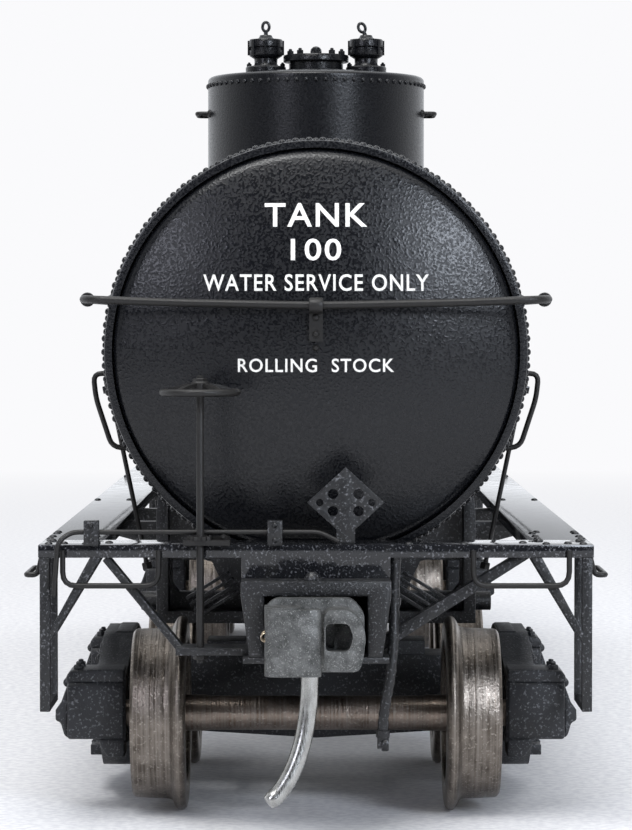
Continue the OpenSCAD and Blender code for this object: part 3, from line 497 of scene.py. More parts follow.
def cad_copy(node: str) -> Mesh:
    """A CAD node's own shape, with its loose triangles merged into flat faces."""
    bm = bmesh.new()
    bm.from_mesh(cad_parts[node].data)
    bmesh.ops.scale(bm, vec=(1 / MM,) * 3, verts=bm.verts)
    bmesh.ops.remove_doubles(bm, verts=bm.verts, dist=WELD)
    bmesh.ops.dissolve_limit(bm, angle_limit=math.radians(0.8), verts=bm.verts, edges=bm.edges)
    bm.verts.index_update()
    points = np.array([v.co for v in bm.verts], float)
    faces = [[v.index for v in f.verts] for f in bm.faces]
    bm.free()
    return Mesh(points, faces)


# ---------------------------------------------------------------- finishes


def linear(colour: str) -> tuple[float, float, float, float]:
    """A hex sRGB colour as linear light.

    Args:
        colour: six hex digits after a hash.

    Returns:
        Red, green, blue and an alpha of one.
    """
    parts = [int(colour[i : i + 2], 16) / 255 for i in (1, 3, 5)]
    r, g, b = (c / 12.92 if c <= 0.04045 else ((c + 0.055) / 1.055) ** 2.4 for c in parts)
    return r, g, b, 1.0


def per_size(size: float) -> float:
    """Scale of a texture on coordinates in metres whose features are size millimetres."""
    return 1 / (size * MM)


def add_node(tree: bpy.types.NodeTree, kind: str, inputs: dict | None = None,
             **settings: object) -> bpy.types.Node:
    """Adds a node to a material.

    Args:
        tree: the material's node tree.
        kind: the node's type name.
        inputs: by an input's name or number, its value or the output socket that feeds it.
        settings: properties of the node.

    Returns:
        The new node.
    """
    node = tree.nodes.new(kind)
    for key, value in settings.items():
        setattr(node, key, value)
    for key, item in (inputs or {}).items():
        if isinstance(item, bpy.types.NodeSocket):
            tree.links.new(item, node.inputs[key])
        else:
            node.inputs[key].default_value = item
    return node


def blank_tree(owner: bpy.types.Material | bpy.types.World) -> bpy.types.NodeTree:
    """The empty node tree of a new material or world."""
    owner.use_nodes = True
    owner.node_tree.nodes.clear()
    return owner.node_tree


def axle_rings(tree: bpy.types.NodeTree, place: bpy.types.NodeSocket, y: float,
               z: float) -> bpy.types.NodeSocket:
    """Coordinates about an axle along X: the distance from it, then the place along it."""
    centred = add_node(tree, "ShaderNodeMapping",
                       {"Vector": place, "Location": (0, -y * MM, -z * MM)})
    split = add_node(tree, "ShaderNodeSeparateXYZ", {0: centred.outputs[0]})
    flat = add_node(tree, "ShaderNodeCombineXYZ", {1: split.outputs[1], 2: split.outputs[2]})
    reach = add_node(tree, "ShaderNodeVectorMath", {0: flat.outputs[0]}, operation="LENGTH")
    rings = add_node(tree, "ShaderNodeCombineXYZ",
                     {0: reach.outputs["Value"], 1: split.outputs[0]})
    return rings.outputs[0]


@dataclass(frozen=True)
class Noise:
    """A noise on a piece's own coordinates, with grain of size millimetres.

    It may be drawn out by a factor along each axis, or run in rings about an axle at (y, z).
    """

    size: float
    detail: float = 2.0
    roughness: float = 0.5
    drawn: Point | None = None
    axle: tuple[float, float] | None = None


@dataclass(frozen=True)
class Coat:
    """A colour over those under it: it covers nothing at a noise's low, its share at the high."""

    noise: str
    low: float
    high: float
    share: float
    colour: str


@dataclass(frozen=True)
class Recipe:
    """A finish as data: its noises by name, a base colour, coats, gloss and bumps.

    The gloss is a noise, its low and high, and the roughness at each. A bump is a noise, a
    strength and a depth in millimetres. Plain holds the shader's numbers that are the same
    all over.
    """

    noises: dict[str, Noise]
    base: str
    coats: tuple[Coat, ...]
    gloss: tuple[str, float, float, float, float]
    bumps: tuple[tuple[str, float, float], ...] = ()
    plain: dict[str, float] = field(default_factory=dict)


@dataclass(frozen=True)
class Finish:
    """What every finish has: its name, the record's slot and a made-once material."""

    name: str
    slot: str

    def recipe(self) -> Recipe:
        """The finish as data; each kind has its own."""
        raise NotImplementedError

    def material(self) -> bpy.types.Material:
        """The finish's material, made the first time it is asked for."""
        return bpy.data.materials.get(self.name) or self.make()

    def make(self) -> bpy.types.Material:
        """Mixes the recipe: the noises, then the coats, the gloss and the bumps, in order."""
        recipe = self.recipe()
        material = bpy.data.materials.new(self.name)
        tree = blank_tree(material)
        place = add_node(tree, "ShaderNodeTexCoord").outputs["Object"]
        noises = {}
        for key, noise in recipe.noises.items():
            at = axle_rings(tree, place, *noise.axle) if noise.axle else place
            if noise.drawn:
                at = add_node(tree, "ShaderNodeMapping",
                              {"Vector": place, "Scale": noise.drawn}).outputs[0]
            noises[key] = add_node(tree, "ShaderNodeTexNoise", {
                "Vector": at, "Scale": per_size(noise.size), "Detail": noise.detail,
                "Roughness": noise.roughness}).outputs[0]
        colour = linear(recipe.base)
        for coat in recipe.coats:
            cover = add_node(tree, "ShaderNodeMapRange", {
                "Value": noises[coat.noise], "From Min": coat.low, "From Max": coat.high,
                "To Max": coat.share}).outputs[0]
            colour = add_node(tree, "ShaderNodeMix", {
                "Factor": cover, UNDER: colour, OVER: linear(coat.colour)},
                data_type="RGBA").outputs[MIXED]
        key, low, high, at_low, at_high = recipe.gloss
        gloss = add_node(tree, "ShaderNodeMapRange", {
            "Value": noises[key], "From Min": low, "From Max": high, "To Min": at_low,
            "To Max": at_high}).outputs[0]
        normal = {}
        for key, strength, depth in recipe.bumps:
            bump = add_node(tree, "ShaderNodeBump", {
                "Height": noises[key], "Strength": strength, "Distance": depth * MM, **normal})
            normal = {"Normal": bump.outputs[0]}
        shader = add_node(tree, "ShaderNodeBsdfPrincipled", {
            "Base Color": colour, "Roughness": gloss, **normal, **recipe.plain})
        add_node(tree, "ShaderNodeOutputMaterial", {"Surface": shader.outputs[0]})
        return material


@dataclass(frozen=True)
class SatinPaint(Finish):
    """Sprayed satin enamel on moulded styrene: an even dark coat with fine grit in it.

    The grit's peaks are pale specks, painted glints laid into the colour, and glossier grains that
    sparkle.
    """

    colour: str = "#0e0f12"
    speck_glint_colour: str = "#4a4d55"
    grit: float = 0.15
    speck_glints: float = 0.15
    roughness: float = 0.27
    sparkle: float = 0.13
    bump: float = 1.0

    def recipe(self) -> Recipe:
        """One noise, the grit, drives colour with its painted glints, gloss and bump."""
        return Recipe(
            {"grit": Noise(self.grit)}, self.colour,
            # pale specks at the grit's peaks are painted glints in the colour
            (Coat("grit", 0.66, 0.8, self.speck_glints, self.speck_glint_colour),),
            ("grit", 0.4, 0.62, self.roughness + self.sparkle, self.roughness - self.sparkle),
            (("grit", self.bump, 0.022),), {"IOR": 1.4})


@dataclass(frozen=True)
class MouldedPlastic(Finish):
    """Injection-moulded black plastic: semi-matte, faintly grained, with patches of dust."""

    colour: str = "#101114"
    dust_colour: str = "#34332f"
    fleck_glint_colour: str = "#77787c"
    roughness: float = 0.4
    grain: float = 0.13
    bump: float = 0.9

    def recipe(self) -> Recipe:
        """Fine grain drives pale flecks, which are painted glints, and the bump; a slower noise
        the dust and the gloss.
        """
        return Recipe(
            {"grain": Noise(self.grain, 3.0), "dust": Noise(1.4, 6.0, 0.7)}, self.colour,
            (Coat("dust", 0.52, 0.78, 0.35, self.dust_colour),
             # pale flecks at the grain's peaks are painted glints in the colour
             Coat("grain", 0.57, 0.7, 0.6, self.fleck_glint_colour)),
            ("dust", 0.3, 0.7, self.roughness - 0.06, self.roughness + 0.1),
            (("grain", self.bump, 0.03),))


@dataclass(frozen=True)
class TurnedMetal(Finish):
    """Turned metal, chemically browned: fine rings about the axle and a worn shine."""

    colour: str = "#7f776f"
    dark: str = "#504942"
    ring_colour: str = "#918a82"
    pit_colour: str = "#a29b92"
    axle: tuple[float, float] = (0.0, 0.0)
    line: float = 0.13
    roughness: float = 0.36

    def recipe(self) -> Recipe:
        """Rings are noise of the distance from the axle; patches of brown lie under them."""
        return Recipe(
            {"rings": Noise(self.line, axle=self.axle), "patches": Noise(0.9, 5.0),
             "grains": Noise(0.14, 1.0)}, self.dark,
            (Coat("patches", 0.32, 0.68, 1.0, self.colour),
             Coat("rings", 0.4, 0.66, 0.7, self.ring_colour),
             Coat("grains", 0.58, 0.74, 0.75, self.pit_colour)),
            ("rings", 0.3, 0.7, self.roughness - 0.08, self.roughness + 0.12),
            (("rings", 1.0, 0.02), ("grains", 0.9, 0.02)), {"Metallic": 1.0})


@dataclass(frozen=True)
class CastZinc(Finish):
    """Pressure-cast zinc: dull grey and granular, with pale grains painted into its colour as
    glints.
    """

    colour: str = "#6e6f6e"
    dark: str = "#383938"
    # colour of the painted glints on the grains
    bright: str = "#b9bab6"
    grain: float = 0.075

    def recipe(self) -> Recipe:
        """One noise is the casting's skin, a finer one its grains and their painted glints; a slow
        one soils it.
        """
        return Recipe(
            {"cloud": Noise(0.9, 6.0, 0.65), "grains": Noise(self.grain),
             "skin": Noise(0.28, 4.0)}, self.dark,
            (Coat("cloud", 0.35, 0.65, 1.0, self.colour),
             # pale grains over the colour are painted glints
             Coat("grains", 0.58, 0.8, 0.65, self.bright)),
            ("grains", 0.3, 0.7, 0.62, 0.42),
            (("skin", 0.6, 0.05), ("grains", 0.5, 0.03)), {"Metallic": 0.7})


@dataclass(frozen=True)
class DrawnSteel(Finish):
    """Bright drawn metal: long soft scratches and a little tarnish."""

    colour: str = "#b4b4b1"
    tarnish: str = "#5e5c57"
    roughness: float = 0.24
    along: Point = (1.0, 1.0, 0.12)

    def recipe(self) -> Recipe:
        """Scratches are a noise drawn out along the metal; tarnish is a slower noise."""
        return Recipe(
            {"scratch": Noise(0.07, drawn=self.along), "cloud": Noise(0.7, 4.0)}, self.colour,
            (Coat("cloud", 0.45, 0.75, 0.45, self.tarnish),),
            ("scratch", 0.3, 0.7, self.roughness - 0.06, self.roughness + 0.14),
            (("scratch", 0.18, 0.01),), {"Metallic": 1.0})


@dataclass(frozen=True)
class StencilPaint(Finish):
    """White ink printed through a stencil: chalky, a little thin at its edges."""

    colour: str = "#e6e4df"
    thin: str = "#a9a8a6"

    def recipe(self) -> Recipe:
        """A fine noise thins the white where the ink did not cover."""
        return Recipe({"grain": Noise(0.12)}, self.colour,
                      (Coat("grain", 0.5, 0.8, 0.8, self.thin),), ("grain", 0.3, 0.7, 0.5, 0.7))


# the speck colours and shares in these paints are painted glints on the grit
PAINT = SatinPaint("satin_black_enamel", "satin_black_paint")
DOME_PAINT = SatinPaint("satin_black_enamel_on_dome", "satin_black_paint", roughness=0.27,
                        sparkle=0.04, speck_glints=0.1, bump=0.6)
WIRE_PAINT = SatinPaint("painted_steel_wire", "painted_wire", colour="#1b1a19",
                        speck_glint_colour="#6a6660", grit=0.12, roughness=0.42,
                        sparkle=0.06, bump=0.7)
FRAME_PLASTIC = MouldedPlastic("moulded_black_styrene", "black_styrene", colour="#0e0f11",
                               roughness=0.4)
DECK_PLASTIC = MouldedPlastic("moulded_styrene_deck", "black_styrene", colour="#17181b",
                              roughness=0.08, bump=0.1)
TRUCK_PLASTIC = MouldedPlastic("moulded_black_acetal", "black_acetal", colour="#15171b",
                               roughness=0.48)
ZINC = CastZinc("cast_zinc_alloy", "cast_zinc")
PIN_STEEL = DrawnSteel("drawn_steel_pin", "polished_steel")
SCREW_STEEL = DrawnSteel("machine_screw_steel", "screw_steel", colour="#a5a39c",
                         along=(1.0, 1.0, 1.0))
BALLAST_STEEL = DrawnSteel("mill_finish_steel", "ballast_steel", colour="#8b8a86",
                           roughness=0.4, along=(1.0, 0.1, 1.0))
BRONZE = DrawnSteel("phosphor_bronze_sheet", "spring_bronze", colour="#b98348",
                    tarnish="#6f4a26", along=(1.0, 0.2, 1.0))
SPRING_STEEL = DrawnSteel("bronze_knuckle_spring", "cast_zinc", colour="#9c8f7c",
                          along=(1.0, 1.0, 1.0))
STENCIL = StencilPaint("white_stencil_ink", "satin_black_paint")


# ---------------------------------------------------------------- pieces


class Body(Enum):
    """The wagon's moving bodies at the front end; the rear ones have the other word."""

    WAGON = "wagon"
    TRUCK = "front_truck"
    COUPLER = "front_coupler"
    KNUCKLE = "front_knuckle"


class End(Enum):
    """The two ends of the wagon and the turn that takes the front one there."""

    FRONT = 0.0
    REAR = 180.0

    @property
    def word(self) -> str:
        """The end's word in the names of nodes and bodies."""
        return self.name.lower()


def solid_object(name: str, mesh: Mesh, bevel: float, sharp: float,
                 segments: int = 2) -> bpy.types.Object:
    """A Blender object from a mesh in millimetres, merged, turned outwards and rounded.

    Args:
        name: the piece's name.
        mesh: its shape.
        bevel: width of the rounding of its sharp edges, or 0.
        sharp: edges that turn by more degrees than this are shaded sharp.
        segments: steps across each rounding.

    Returns:
        The linked object.
    """
    data = bpy.data.meshes.new(name)
    data.from_pydata((mesh.points * MM).tolist(), [], mesh.faces)
    bm = bmesh.new()
    bm.from_mesh(data)
    bmesh.ops.remove_doubles(bm, verts=bm.verts, dist=WELD * MM)
    bmesh.ops.dissolve_degenerate(bm, edges=bm.edges, dist=WELD * MM * 0.5)
    bmesh.ops.recalc_face_normals(bm, faces=bm.faces)
    if bevel:
        limit = math.radians(BEVEL_FROM)
        edges = [e for e in bm.edges if e.is_manifold and e.calc_face_angle(0.0) > limit]
        bmesh.ops.bevel(bm, geom=edges, offset=bevel * MM, offset_type="OFFSET", segments=segments,
                        profile=0.5, affect="EDGES", clamp_overlap=True)
    bm.to_mesh(data)
    bm.free()
    data.shade_smooth()
    data.set_sharp_from_angle(angle=math.radians(sharp))
    piece = bpy.data.objects.new(name, data)
    bpy.context.scene.collection.objects.link(piece)
    return piece


@dataclass
class Assembly:
    """A group of pieces that is built and then dressed in its finishes."""

    pieces: list[tuple[bpy.types.Object, Finish]] = field(default_factory=list)

    def add(self, name: str, mesh: Mesh, finish: Finish, body: str = "wagon",
            replaces: tuple[str, ...] = (), bevel: float = 0.0, sharp: float = 38.0,
            segments: int = 2) -> None:
        """Makes one piece, seats it on its body and keeps it for dressing.

        Args:
            name: the piece's name.
            mesh: its shape in millimetres.
            finish: the finish that it gets.
            body: the CAD body that it rides on.
            replaces: the CAD nodes that it stands for.
            bevel: rounding of its edges in millimetres.
            sharp: the angle over which edges are shaded sharp.
            segments: steps across each rounding.
        """
        piece = solid_object(name, mesh, bevel, sharp, segments)
        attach(piece, body)
        if replaces:
            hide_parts(*replaces)
        self.pieces.append((piece, finish))
        LOG.info("%s: %d faces on %s", name, len(piece.data.polygons), body)

    def copy_cad(self, node: str, finish: Finish, body: str = "wagon", bevel: float = 0.06,
                 extra: Mesh | None = None) -> None:
        """A CAD node's shape with rounded edges, and any added detail, in place of the node."""
        self.add(f"{node}_rounded", cad_copy(node), finish, body, (node,), bevel)
        if extra is not None:
            self.add(f"{node}_details", extra, finish, body)

    def build(self) -> None:
        """Makes the assembly's pieces."""
        raise NotImplementedError

    def dress(self) -> None:
        """Gives each piece its material."""
        for piece, finish in self.pieces:
            piece.data.materials.clear()
            piece.data.materials.append(finish.material())


def head_depth(r: np.ndarray) -> np.ndarray:
    """How far a head stands out at distance r from its middle.

    The face is part of a sphere: h = b - (S - sqrt(S^2 - r^2)), S = (R^2 + b^2) / 2b, and
    its edge falls away as a quarter of an ellipse.
    """
    radius, bulge = Datum.head_r, -Datum.head.low[1] - Datum.tank_end
    sphere = (radius**2 + bulge**2) / (2 * bulge)
    edge = np.clip((r - (radius - HEAD_EDGE)) / HEAD_CURVE, 0, 1)
    fall = HEAD_FALL * (1 - np.sqrt(1 - edge**2))
    return bulge - (sphere - np.sqrt(sphere**2 - r**2)) - fall


def tank_height(x: np.ndarray, radius: float) -> np.ndarray:
    """Height of the top of a level cylinder of that radius on the tank's axis, at x."""
    return Datum.axis_z + np.sqrt(radius**2 - x**2)


@dataclass
class Tank(Assembly):
    """Shell with its courses and rivets, two dished heads, bands and the ballast."""

    wall: float = 1.0
    course_step: float = 0.09
    end_course: float = 2.1
    seam_y: float = 18.4
    seat: float = 1.2
    rivet_radius: float = 0.2
    rivet_height: float = 0.19
    rivets_round: int = 98
    seam_angles: tuple[float, ...] = (-38.0, 218.0)
    seam_pitch: float = 1.05
    lug_angle: float = 11.0

    def shell(self) -> Mesh:
        """The shell turned round the tank's axis: end and middle courses stand proud."""
        r, end, h = Datum.tank_r, Datum.tank_end, Datum.head_r
        low = r - self.course_step
        half = [(low, self.seam_y + 0.06), (low, end - self.end_course - 0.06),
                (r, end - self.end_course), (r, end - 0.12), (r - 0.04, end - 0.03),
                (r - 0.12, end), (h + 0.02, end), (h + 0.02, end - self.seat),
                (r - self.wall, end - self.seat)]
        outer = [(r, self.seam_y)] + half
        profile = [(a, -b) for a, b in outer[::-1]] + outer
        return lathe(profile, 256, closed=True).turned("X", 90).moved(z=Datum.axis_z)

    def ring_rows(self) -> tuple[np.ndarray, np.ndarray]:
        """Places and normals of the rivets that run round the shell."""
        r, end = Datum.tank_r, Datum.tank_end
        rows = [(end - 0.45, 0.0, self.rivets_round), (end - 1.35, 0.5, self.rivets_round),
                (self.seam_y - 0.45, 0.0, self.rivets_round),
                (self.seam_y - 1.3, 0.5, self.rivets_round)]
        places, normals = [], []
        for y, phase, count in rows:
            normal = ring(1.0, count, phase=phase)[:, [0, 2, 1]]
            for side in (-1, 1):
                places.append(normal * r + np.array([0, side * y, Datum.axis_z]))
                normals.append(normal)
        return np.vstack(places), np.vstack(normals)

    def seam_rows(self) -> tuple[np.ndarray, np.ndarray]:
        """Places and normals of the rivets in the lengthwise seams."""
        r = Datum.tank_r - self.course_step
        spans = [(self.seam_y + 0.6, Datum.tank_end - self.end_course - 0.5, r),
                 (-self.seam_y + 1.9, self.seam_y - 1.9, Datum.tank_r)]
        spans.append((-spans[0][1], -spans[0][0], r))
        places, normals = [], []
        for angle in self.seam_angles:
            a = math.radians(angle)
            normal = np.array([math.cos(a), 0, math.sin(a)])
            for low, high, radius in spans:
                y = np.arange(low, high, self.seam_pitch)
                at = normal * radius + np.array([0, 0, Datum.axis_z])
                places.append(at + np.outer(y, [0, 1, 0]))
                normals.append(np.tile(normal, (len(y), 1)))
        return np.vstack(places), np.vstack(normals)

    def head(self) -> Mesh:
        """One dished head, turned round the axis from its middle to its edge."""
        flat = Datum.head_r - HEAD_EDGE
        curve = flat + HEAD_CURVE * np.sin(np.linspace(0.2, 1.55, 9))
        r = np.concatenate([np.linspace(0, flat, 26), curve])
        profile = list(zip(r, Datum.tank_end + head_depth(r)))
        profile += [(r[-1], Datum.tank_end - self.seat), (0, Datum.tank_end - self.seat)]
        return lathe(profile, 192).turned("X", 90).moved(z=Datum.axis_z)

    def bands(self) -> Mesh:
        """Straps over the tank above each bolster, with a folded lug at each end."""
        span = Span.of("tank_bands")
        width = span.size[1] - 2 * Datum.truck_y
        a = np.radians(np.linspace(-self.lug_angle, 180 + self.lug_angle, 97))
        mid, y = Datum.tank_r + 0.04, -Datum.truck_y
        path = np.stack([mid * np.cos(a), 0 * a + y, mid * np.sin(a) + Datum.axis_z], axis=1)
        strap = sweep(path, rectangle(0.3, width), beside=(0, 1, 0))
        lug = box((0, -width / 2, -0.15), (1.15, width / 2, 0.28)).turned("Y", self.lug_angle)
        lug = lug.moved(Datum.tank_r * math.cos(a[0]), y,
                        Datum.tank_r * math.sin(a[0]) + Datum.axis_z)
        keeper = box((-0.45, -width / 2 - 0.12, 0), (0.45, width / 2 + 0.12, 0.34))
        keeper = keeper.moved(0, y, Datum.axis_z + Datum.tank_r)
        return (strap + lug.both_sides() + keeper).both_ends()

    def rods(self) -> Mesh:
        """Threaded rods with nuts, from the bands' lugs down to the bolsters."""
        span = Span.of("band_rods")
        top = np.array([span.high[0] - 0.17, -Datum.truck_y, span.high[2]])
        low = np.array([Datum.bolster.high[0] - 0.38, -Datum.truck_y, span.low[2]])
        run = unit(top - low)
        rod = sweep(np.linspace(low, top, 3), circle(0.14, 10))
        nuts = stamp(nut(0.32, 0.34), np.array([top - run * 0.55, low + run * 0.05]), run)
        return (rod + nuts).both_sides().both_ends()

    def build(self) -> None:
        """Makes the shell, rivets, heads, bands, rods, grab irons and ballast."""
        self.add("tank_shell_courses", self.shell(), PAINT, replaces=("tank_shell",))
        head = rivet(self.rivet_radius, self.rivet_height, 8)
        self.add("tank_ring_rivets", stamp(head, *self.ring_rows()), PAINT, sharp=60)
        self.add("tank_seam_rivets", stamp(head, *self.seam_rows()), PAINT, sharp=60)
        self.add("tank_head_front_dished", self.head(), PAINT, replaces=("tank_head_front",))
        self.add("tank_head_rear_dished", self.head().turned("Z", 180), PAINT,
                 replaces=("tank_head_rear",))
        self.add("tank_band_straps", self.bands(), PAINT, replaces=("tank_bands",), bevel=0.03)
        self.add("band_rods_threaded", self.rods(), WIRE_PAINT, replaces=("band_rods",))
        grab = Span.of("tank_grab_irons")
        y, r, top = grab.low[1] + 0.14, Datum.tank_r, grab.high[2] - 0.14
        iron = wire([(r - 0.2, y, top), (r + 0.95, y, top), (r + 0.8, y, top - 1.4),
                     (r - 0.1, y, top - 4.15), (r - 1.7, y, top - 4.3)], 0.15, 0.5)
        self.add("tank_grab_irons_bent", iron.both_sides().both_ends(), WIRE_PAINT,
                 replaces=("tank_grab_irons",))
        self.copy_cad("ballast_weight", BALLAST_STEEL, bevel=0.15)


@dataclass
class Dome(Assembly):
    """The dome on the tank, its lid, the manway, the safety valves and side wires."""

    wall: float = 0.8
    flange: float = 0.95
    rivet_radius: float = 0.17
    rivets_round: int = 72

    def drum(self) -> Mesh:
        """The dome's wall from a riveted foot that follows the tank up to its rim.

        Round angle a and row k, the point is (r cos a, r sin a, z), where z goes from the
        tank's height at that place, plus a small lift, to the rim.
        """
        a = np.arange(192) * ROUND / 192
        r0, top = Datum.dome_r, Datum.rim_z
        foot = [(self.flange, -0.05), (self.flange, 0.1), (self.flange - 0.05, 0.15),
                (0.35, 0.17), (0.16, 0.24), (0.05, 0.38), (0.0, 0.6)]
        rows = []
        for out, lift in foot:
            x, y = (r0 + out) * np.cos(a), (r0 + out) * np.sin(a)
            rows.append(np.stack([x, y, tank_height(x, Datum.tank_r) + lift], axis=1))
        for share in np.linspace(0.1, 1, 7):
            row = rows[len(foot) - 1].copy()
            row[:, 2] = (1 - share) * row[:, 2] + share * top
            rows.append(row)
        inner = rows[-1] * np.array([1 - self.wall / r0, 1 - self.wall / r0, 1])
        low = inner.copy()
        low[:, 2] = tank_height(low[:, 0], Datum.tank_r) - 0.3
        return grid(np.stack(rows + [inner, low]), wrap_rows=True, wrap_cols=True)

    def foot_rivets(self) -> tuple[np.ndarray, np.ndarray]:
        """Places and normals of the rivets round the dome's foot, on the tank."""
        places = ring(Datum.dome_r + self.flange - 0.35, 64, phase=0.5)
        places[:, 2] = tank_height(places[:, 0], Datum.tank_r) + 0.15
        return places, (places - [0, 0, Datum.axis_z]) * [1, 0, 1]

    def lid(self) -> Mesh:
        """The crowned lid: a rolled edge and part of a sphere, turned round Z."""
        r0, rim, top = Datum.dome_r, Datum.rim_z, Datum.lid_z
        crown = top - rim - 0.25
        sphere = (r0**2 + crown**2) / (2 * crown)
        r = np.linspace(r0 - 0.5, 0, 22)
        t = np.linspace(0, 1.25, 6)
        roll = np.stack([r0 - 0.35 + 0.35 * np.cos(t), rim + 0.05 + 0.3 * np.sin(t)], axis=1)
        face = np.stack([r, top - (sphere - np.sqrt(sphere**2 - r**2))], axis=1)
        foot = [(0, rim - 0.8), (r0 - self.wall, rim - 0.8), (r0 - self.wall, rim - 0.02),
                (r0, rim - 0.02)]
        return lathe(np.vstack([foot, roll, face]), 160)

    def manway(self) -> Mesh:
        """Neck, cover with a raised rim, ring of nuts on studs, hinge and lifting eye."""
        span = Datum.cover
        r, low, top = span.size[0] / 2, Datum.lid_z + 0.6, Datum.lid_z + 1.1
        body = lathe([(0, span.low[2]), (r - 0.1, span.low[2]), (r - 0.1, span.low[2] + 0.3),
                      (r - 0.4, span.low[2] + 0.35), (r - 0.4, low - 0.06), (r - 0.05, low),
                      (r, low + 0.06), (r, top - 0.08), (r - 0.06, top), (r - 0.85, top),
                      (r - 0.9, top - 0.12), (r - 1.3, top - 0.1), (0, top + 0.04)], 64)
        nuts = stamp(nut(0.26, 0.3), ring(r - 0.42, 10, top - 0.02, 0.5), (0, 0, 1))
        hinge = box((-0.5, r - 0.3, low - 0.1), (0.5, r, top + 0.2))
        t = np.linspace(-0.6, math.pi + 0.6, 14)
        bow = np.stack([0.32 * np.cos(t), 0 * t, 0.28 + 0.3 * np.sin(t)], axis=1)
        return body + nuts + hinge + sweep(bow, circle(0.09, 8)).moved(z=top)

    def valve(self, tilt: float) -> Mesh:
        """One safety valve: bolted flange, waisted neck, ribbed body, cap and pull ring.

        Args:
            tilt: degrees that the pull ring leans to the right.

        Returns:
            The valve round Z, at its height.
        """
        body = lathe([(0, 0), (1.45, 0), (1.45, 0.72), (1.38, 0.8), (0.92, 0.85), (0.82, 1.0),
                      (0.84, 1.35), (1.16, 1.55), (1.2, 1.62), (1.2, 1.95), (1.1, 2.0),
                      (1.1, 2.12), (1.22, 2.2), (1.24, 2.6), (1.16, 2.74), (0.62, 2.8),
                      (0.5, 2.88), (0.42, 3.05), (0, 3.08)], 40)
        nuts = stamp(nut(0.2, 0.22), ring(1.2, 6, 0.78), (0, 0, 1))
        fins = join([box((1.05, -0.09, 1.62), (1.31, 0.09, 2.66)).turned("Z", k * 45)
                     for k in range(8)])
        stem = sweep(np.array([[0, 0, -0.2], [0, 0, 0.16], [0, 0, 0.5]]), circle(0.15, 8))
        t = np.arange(20) * ROUND / 20
        path = np.stack([0.24 * np.cos(t), 0 * t, 0.76 + 0.33 * np.sin(t)], axis=1)
        loop = sweep(path, circle(0.11, 8), closed=True, beside=(0, 1, 0))
        pull = (stem + loop).turned("Y", tilt).moved(z=2.9)
        return (body + nuts + fins + pull).moved(z=Datum.lid_z - 0.5)

    def build(self) -> None:
        """Makes the drum, lid, manway, valves, wires and their rivets."""
        self.add("dome_drum", self.drum(), DOME_PAINT, replaces=("dome",))
        head = rivet(self.rivet_radius, 0.15, 8)
        rim = ring(Datum.dome_r, self.rivets_round, Datum.rim_z - 0.3)
        self.add("dome_rim_rivets", stamp(head, rim, rim * [1, 1, 0]), DOME_PAINT, sharp=60)
        self.add("dome_foot_rivets", stamp(head, *self.foot_rivets()), PAINT, sharp=60)
        self.add("dome_lid_crowned", self.lid(), DOME_PAINT, replaces=("dome_top",))
        self.add("manway_cover_bolted", self.manway(), PAINT, replaces=("manway_cover",))
        x = Datum.valves.size[0] / 2 - 1.45
        both = self.valve(0.0).moved(x=-x) + self.valve(-24.0).moved(x=x)
        self.add("safety_valves_ribbed", both, PAINT, replaces=("safety_valves",))
        span = Span.of("dome_grab_irons")
        out, z, half = span.high[0] - 0.14, span.mid[2], span.high[1] - 0.14
        iron = wire([(Datum.dome_r - 0.2, -half, z), (out, -half, z), (out, half, z),
                     (Datum.dome_r - 0.2, half, z)], 0.15, 0.4)
        feet = np.array([[Datum.dome_r * 0.977, s * half, z] for s in (-1, 1)])
        bosses = stamp(rivet(0.3, 0.2), feet, np.array([[1, -0.2, 0], [1, 0.2, 0]]))
        self.add("dome_grab_irons_bent", (iron + bosses).both_sides(), WIRE_PAINT,
                 replaces=("dome_grab_irons",))


